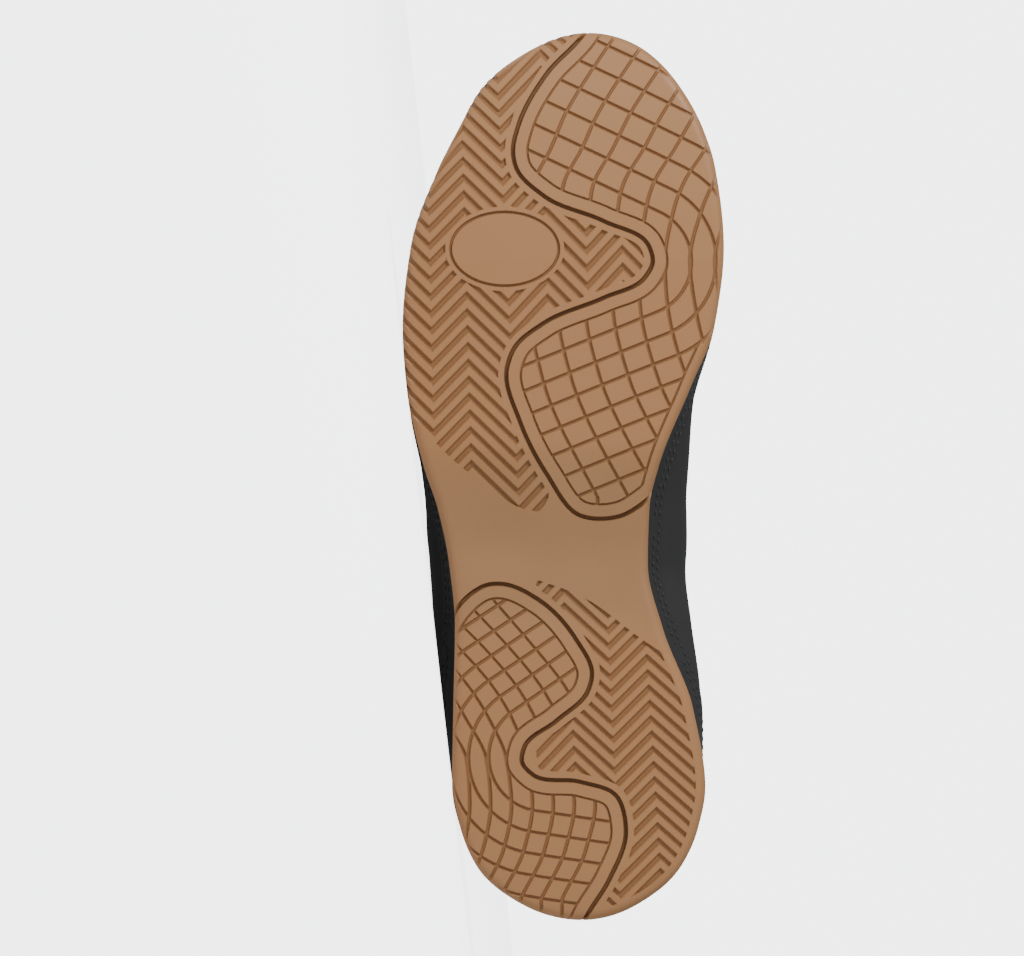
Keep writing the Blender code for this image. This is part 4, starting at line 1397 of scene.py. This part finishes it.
join(
    leather_links,
    (leather_place.outputs["Object"], pebble.inputs["Vector"]),
    (leather_place.outputs["Object"], wear.inputs["Vector"]),
    (layer_of.outputs["Fac"], gloss.inputs["Value"]),
    (gloss.outputs[0], leather_shader.inputs["Roughness"]),
    (pebble.outputs["Distance"], pressed.inputs["Height"]),
    (pressed.outputs[0], leather_shader.inputs["Normal"]),
    (wear.outputs["Fac"], shade.inputs[0]),
    (shade.outputs[2], leather_shader.inputs["Base Color"]),
)


def thicken(piece, wall):
    change = piece.modifiers.new("wall", "SOLIDIFY")
    change.thickness = wall
    change.offset = -1
    change.use_even_offset = True


upper = piece_of("upper_leather", shell, leather, ["upper"], sharp=35)
thicken(upper, LEATHER)

# Lining
# A thin knit glued to the inside of the leather. It ends under the collar's padding and just
# under the edge of the throat.
LINING = 0.0006
LINING_DEPTH = LEATHER + 0.0001
COLLAR_DEPTH = 20.0


def lining_back(along):
    return 0.6 + (COLLAR_DEPTH - 3) * smooth((COLLAR_FRONT - along) / 0.05)


knit = textile("lining_knit", (0.012, 0.012, 0.013), (0.03, 0.03, 0.032), 0.85, 1100.0, 0.00008)
cloth, cloth_layer = skin_sheet(LAST // 2, 40, lining_back, ["hole"])
cloth.verts.layers.float.remove(cloth_layer["hole"])
wrap_skin(cloth, lining_back, -LINING_DEPTH * MM)
lining = piece_of("upper_lining", cloth, knit, sharp=50)
thicken(lining, LINING)

# Collar
# Soft foam in a knit sleeve, sewn to the leather outside and to the lining inside, so that the
# mouth of the shoe has a full round edge. It thins out before the throat.
COLLAR_SECTION = (
    # down from the top edge, out from the skin
    (20.0, -1.4), (14.0, -1.4), (9.5, -1.35), (8.0, -1.15), (7.0, -0.5), (6.2, 0.25), (4.6, 0.55),
    (2.6, 0.30), (1.0, -0.45), (0.2, -1.7), (0.2, -3.0), (1.1, -4.1), (3.0, -4.8), (6.5, -5.0),
    (11.0, -4.5), (16.0, -3.3), (20.0, -2.3),
)


def loft(loops, marks=None):
    """A closed body through loops of as many points each, with marks as lists of values alike."""
    bm = bmesh.new()
    layers = {name: bm.verts.layers.float.new(name) for name in marks or ()}
    ring = bmesh.ops.create_circle(bm, segments=len(loops[0]), radius=1)["verts"]
    first = list(ring)
    for number, loop in enumerate(loops):
        if number:
            edges = [bm.edges.get((a, b)) for a, b in zip(ring, ring[1:] + ring[:1])]
            made = {item for item in bmesh.ops.extrude_edge_only(bm, edges=edges)["geom"]
                    if isinstance(item, bmesh.types.BMVert)}
            ring = [next(edge.other_vert(vert) for edge in vert.link_edges if edge.other_vert(vert) in made)
                    for vert in ring]
        for place, (vert, point) in enumerate(zip(ring, loop)):
            vert.co = point
            for name, layer in layers.items():
                vert[layer] = marks[name][number][place]
    for end in (first, ring):
        bmesh.ops.contextual_create(bm, geom=[bm.edges.get((a, b)) for a, b in zip(end, end[1:] + end[:1])])
    bmesh.ops.recalc_face_normals(bm, faces=bm.faces)
    return bm


def soften(piece, levels):
    change = piece.modifiers.new("soft", "SUBSURF")
    change.levels = change.render_levels = levels


front = int(np.abs(along_of(ANGLES) - COLLAR_FRONT).argmin())
rounds = [*range(front, 0, -2), 0, *range(LAST - 2, LAST - front - 1, -2)]
loops = []
for station in rounds:
    along, length = along_of(ROUND_ANGLES[station]), SECTION[station]
    full = float(smooth((COLLAR_FRONT - along) / 0.045))
    down = np.array([row[0] for row in COLLAR_SECTION]) * (0.1 + 0.9 * full) + 1.5 * (1 - full)
    out = np.array([row[1] for row in COLLAR_SECTION])
    out = -1.6 + (out + 1.6) * (0.12 + 0.88 * full)
    loops.append(skin_at(np.full(len(down), float(station)), 1 - down / length, out))
collar = piece_of("collar_pad", loft(loops), knit, sharp=80)
soften(collar, 1)

# Tongue
# Padded mesh under the laces, open at its sides, with its edge bound by a stitched tape. Its
# front end is caught under the vamp and its top stands free above the throat.
TONGUE_THICKNESS = 0.0045
TONGUE_CREST = 0.0022
TONGUE_RADIUS = 0.038
TONGUE_ROUND = 0.022
TONGUE_START, TONGUE_TOP = 0.70, 0.325
LACE_THICKNESS = 0.0012
TONGUE = (
    (0.325, 0.290), (0.350, 0.290), (0.374, 0.274), (0.390, 0.231), (0.401, 0.231),
    (0.415, 0.285), (0.430, 0.290), (0.500, 0.290), (0.600, 0.250), (0.700, 0.230),
)
tongue_half = column(TONGUE, 1)


def tongue_depth(along, off):
    """How far the tongue's top lies under the instep's surface: least along its middle."""
    deepest = UPPER_WALL + LACE_THICKNESS + 3 * GAP
    under = np.clip((along - THROAT_END) / 0.03, 0, 1)
    out = np.abs(off) / throat_half(np.clip(along, THROAT_TOP, THROAT_END - 0.02))
    crest = smooth((0.85 - out) / 0.4) * (TONGUE_CREST - deepest)
    return deepest + np.where(along > THROAT_END, under * (UPPER_WALL + 2 * GAP - deepest), crest)


def tongue_point(along, off, rise):
    """Points of the tongue: under the facings it follows the upper, above them it stands free."""
    depth = tongue_depth(along, off)
    covered = instep_point(np.maximum(along, THROAT_TOP - 0.02), off, rise - depth)
    lean = math.radians(42)
    free = np.stack([
        station_x(along) + (rise - depth) * math.sin(lean),
        BALL_WIDTH * middle_of(along) + off,
        INSTEP_HEIGHT * instep_height(along) - off**2 / (2 * TONGUE_RADIUS) + (rise - depth) * math.cos(lean),
    ], axis=-1)
    return covered + smooth((THROAT_TOP - along) / 0.02)[..., None] * (free - covered)


TONGUE_LOOPS, TONGUE_POINTS = 110, 34
across = np.cos(np.linspace(0, math.pi, TONGUE_POINTS))
loops = []
for share in np.linspace(0, 1, TONGUE_LOOPS):
    off = np.concatenate([across, -across[1:-1]])
    along = TONGUE_START + (TONGUE_TOP - TONGUE_START) * share + TONGUE_ROUND * share**4 * off**4
    end = np.sqrt(np.clip(min(share / 0.012, (1 - share) / 0.012), 0.02, 1))
    full = 0.30 + 0.70 * np.clip(1 - np.abs(off) ** 7, 0, 1)
    full = full * np.sqrt(np.clip(1 - np.abs(off) ** 24, 0, 1)) * end
    top = np.arange(len(off)) < TONGUE_POINTS
    swell = TONGUE_THICKNESS / 2 * full * np.where(top, 1, -1)
    loops.append(tongue_point(along, off * BALL_WIDTH * tongue_half(along), swell - TONGUE_THICKNESS / 2))
mesh_cloth = textile("black_mesh", (0.008, 0.008, 0.008), (0.034, 0.034, 0.035), 0.8, 620.0, 0.00025)
tongue = piece_of("tongue_pad", loft(loops), mesh_cloth, ["tongue"], sharp=80)

binding = np.concatenate([
    np.column_stack([np.linspace(0.56, 0.345, 60), np.full(60, -0.86)]),
    np.column_stack([np.full(40, 0.336), np.linspace(-0.80, 0.80, 40)]),
    np.column_stack([np.linspace(0.345, 0.56, 60), np.full(60, 0.86)]),
])
binding_along = binding[:, 0] + TONGUE_ROUND * 0.8 * binding[:, 1] ** 4 * (binding[:, 0] < 0.37)
binding_off = binding[:, 1] * BALL_WIDTH * tongue_half(binding_along)
stitch_paths.append(tuple(
    tongue_point(binding_along, binding_off, np.full(len(binding), lift)) for lift in (0.0, 0.001)
))

# Lace
# One flat woven lace. From the bar over the front of the tongue it comes up through the first
# holes, crosses over the tongue and goes up through the next holes, to the top pair.
LACE_WIDTH = 0.0050
LACE_NARROW = 0.0030
LACE_STEP = 0.0009
OVER = LACE_THICKNESS / 2 + 2 * GAP
UNDER_FACING = -(UPPER_WALL + LACE_THICKNESS / 2 + GAP)


def crossing(start_row, end_row, side, lift):
    """A lace from the hole of one row over the throat to the hole of the next, as far as it shows."""
    share = np.linspace(0, 1, 30)
    first, last = lace_row(start_row), lace_row(end_row)
    along = first + (last - first) * share
    off = side * (hole_off(first) - 0.0018) * (1 - share) - side * (hole_off(last) - 0.0014) * share
    out = np.abs(off) / throat_half(along)
    climb = np.sin(math.pi / 2 * np.clip((out - 0.45) / 0.5, 0, 1))
    near = OVER - TONGUE_CREST * (1 - climb)
    far = np.maximum(OVER - tongue_depth(along, off), UNDER_FACING)
    rise = np.where(side * off > 0, near, far) + lift * np.sin(math.pi * share) ** 2
    return np.column_stack([along, off, rise])


def up_through(row, side):
    """The lace in a hole, from under the facing to above it."""
    off = side * hole_off(lace_row(row))
    rises = np.array((UNDER_FACING * 0.8, UNDER_FACING * 0.4, 0.0, OVER * 0.7))
    return np.column_stack([np.full(4, lace_row(row)), off + side * np.array((0, 0.0004, 0.0004, 0)), rises])


def lace_half(side, lift):
    """The lace from the middle of the bar to the top hole that it ends in."""
    share = np.linspace(0.02, 1, 16)
    along = np.full(16, lace_row(0) + LACE_WIDTH / 6 / SOLE_LENGTH)
    off = side * share * (hole_off(lace_row(0)) - 0.0014)
    runs = [np.column_stack([along, off, np.maximum(OVER - tongue_depth(along, off), UNDER_FACING)])]
    for row in range(LACE_ROWS):
        runs.append(up_through(row, side))
        if row < LACE_ROWS - 1:
            runs.append(crossing(row, row + 1, side, lift if row % 2 else 0.6 * LACE_THICKNESS - lift))
            side = -side
    tip = runs[-1][-1] + (0, 0, 0.0012)
    return np.concatenate([*runs, [tip]])


def evened(rows):
    """A run of vectors, each drawn a little to its neighbours."""
    weights = np.array((0.06, 0.24, 0.4, 0.24, 0.06))
    padded = np.pad(rows, ((2, 2), (0, 0)), mode="edge")
    return np.column_stack([np.convolve(padded[:, i], weights, mode="valid") for i in range(3)])


route = np.concatenate([lace_half(OUTER, 0.0)[::-1], lace_half(INNER, 0.6 * LACE_THICKNESS)])
places = instep_point(route[:, 0], route[:, 1], route[:, 2])
normals = instep_normal(route[:, 0], route[:, 1])
to_hole = np.linalg.norm(places[:, None] - HOLES[None], axis=2).min(axis=1)
run = run_of(places)
even = np.arange(0, run[-1], LACE_STEP)
fine = read_at(even, run, places)
for _ in range(2):
    fine = evened(fine)
skin_normal = read_at(even, run, normals)
pinch = smooth((np.interp(even, run, to_hole) * MM - 1.2) / 2.6)
course = unit(np.gradient(fine, axis=0))
flat = np.abs((course * skin_normal).sum(axis=1)) < 0.5
sideways = np.cross(skin_normal, course)
for i in range(1, len(sideways)):
    if not flat[i]:
        sideways[i] = sideways[i - 1]
    elif sideways[i] @ sideways[i - 1] < 0:
        sideways[i] = -sideways[i]
sideways = unit(sideways - (sideways * course).sum(axis=1)[:, None] * course)
for _ in range(3):
    sideways = unit(evened(sideways))
lifted = np.cross(sideways, course)
LACE_HALF_ROUND = (
    (1, 0), (0.94, 0.62), (0.78, 0.9), (0.4, 1), (0, 1), (-0.4, 1), (-0.78, 0.9), (-0.94, 0.62),
)
LACE_ROUND = [*LACE_HALF_ROUND, *((-w, -t) for w, t in LACE_HALF_ROUND)]
half_width = (LACE_NARROW + (LACE_WIDTH - LACE_NARROW) * pinch) / 2
half_thick = LACE_THICKNESS / 2 * (1.25 - 0.25 * pinch)
loops = [
    [centre + w * half_w * s + t * half_t * n for w, t in LACE_ROUND]
    for centre, s, n, half_w, half_t in zip(fine, sideways, lifted, half_width, half_thick)
]
marks = {
    "run": [[distance * MM] * len(LACE_ROUND) for distance in even],
    "side": [[w * half_w * MM for w, _ in LACE_ROUND] for half_w in half_width],
}

# Plaits run slantwise from both edges to the lace's middle line
PLAIT_LENGTH, PLAIT_HEIGHT, PLAIT_SLANT = 1.5, 0.62, 0.8
cord, cord_shader, cord_nodes, cord_links = new_material("lace_cord", (0.02, 0.02, 0.02), 0.85)
cord_shader.inputs["Specular IOR Level"].default_value = 0.3
cord_shader.inputs["Sheen Weight"].default_value = 0.2
run_along, side_of = (node(cord_nodes, "ShaderNodeAttribute", attribute_name=name) for name in marks)
from_middle = node(cord_nodes, "ShaderNodeMath", operation="ABSOLUTE")
slanted = node(cord_nodes, "ShaderNodeMath", operation="MULTIPLY_ADD")
slanted.inputs[1].default_value = PLAIT_SLANT
on_lace = node(cord_nodes, "ShaderNodeCombineXYZ")
plaits = node(
    cord_nodes, "ShaderNodeTexBrick", Scale=1.0, Mortar_Size=0.12, Mortar_Smooth=1.0,
    Brick_Width=PLAIT_LENGTH, Row_Height=PLAIT_HEIGHT, Color1=(0.030, 0.030, 0.031, 1),
    Color2=(0.021, 0.021, 0.022, 1), Mortar=(0.005, 0.005, 0.005, 1),
)
plait_rise = node(cord_nodes, "ShaderNodeBump", Strength=0.7, Distance=0.0003, invert=True)
join(
    cord_links,
    (side_of.outputs["Fac"], from_middle.inputs[0]),
    (from_middle.outputs[0], slanted.inputs[0]),
    (run_along.outputs["Fac"], slanted.inputs[2]),
    (slanted.outputs[0], on_lace.inputs["X"]),
    (side_of.outputs["Fac"], on_lace.inputs["Y"]),
    (on_lace.outputs[0], plaits.inputs["Vector"]),
    (plaits.outputs["Color"], cord_shader.inputs["Base Color"]),
    (plaits.outputs["Fac"], plait_rise.inputs["Height"]),
    (plait_rise.outputs[0], cord_shader.inputs["Normal"]),
)
lace_nodes = ["lace_bar"] + [f"lace_crossing_{n}" for n in range(1, LACE_ROWS)]
piece_of("lace", loft(loops, marks), cord, lace_nodes, sharp=80)

# Stitching
# Bonded black thread in a lock stitch: two rows inside every edge of the second layer, one row
# along the throat and the collar, and one that holds the tongue's binding.
STITCH_LENGTH, STITCH_GAP, THREAD = 0.0021, 0.0009, 0.00032
stitch = bmesh.new()
bmesh.ops.create_uvsphere(stitch, u_segments=6, v_segments=4, radius=1)
one_stitch = bpy.data.meshes.new("one_stitch")
stitch.to_mesh(one_stitch)
stitch.clear()
for path, over in stitch_paths:
    run = run_of(path)
    pitch = STITCH_LENGTH + STITCH_GAP
    for start in np.arange(0, run[-1] - pitch, pitch):
        a, b = (Vector(place) for place in read_at([start, start + STITCH_LENGTH], run, path))
        lift = Vector(read_at([start], run, over - path)[0]).normalized()
        way = (b - a).normalized()
        turn = Matrix((way, lift.cross(way).normalized(), lift)).transposed().to_4x4()
        size = Matrix.Diagonal((STITCH_LENGTH / 2, THREAD, THREAD, 1))
        copy = one_stitch.copy()
        copy.transform(Matrix.Translation((a + b) / 2 + 0.1 * THREAD * lift) @ turn @ size)
        stitch.from_mesh(copy)
        bpy.data.meshes.remove(copy)
bpy.data.meshes.remove(one_stitch)
thread, thread_shader, thread_nodes, thread_links = new_material("sewing_thread", (0.024, 0.024, 0.025), 0.55)
twist_place = node(thread_nodes, "ShaderNodeTexCoord")
twist = node(thread_nodes, "ShaderNodeTexNoise", Scale=3200.0, Detail=1.0)
twist_rise = node(thread_nodes, "ShaderNodeBump", Strength=0.5, Distance=0.0001)
twist_tone = colour_mix(thread_nodes, (0.014, 0.014, 0.015), (0.036, 0.036, 0.037))
join(
    thread_links,
    (twist_place.outputs["Object"], twist.inputs["Vector"]),
    (twist.outputs["Fac"], twist_rise.inputs["Height"]),
    (twist.outputs["Fac"], twist_tone.inputs[0]),
    (twist_tone.outputs[2], thread_shader.inputs["Base Color"]),
    (twist_rise.outputs[0], thread_shader.inputs["Normal"]),
)
piece_of("stitching", stitch, thread, sharp=80)
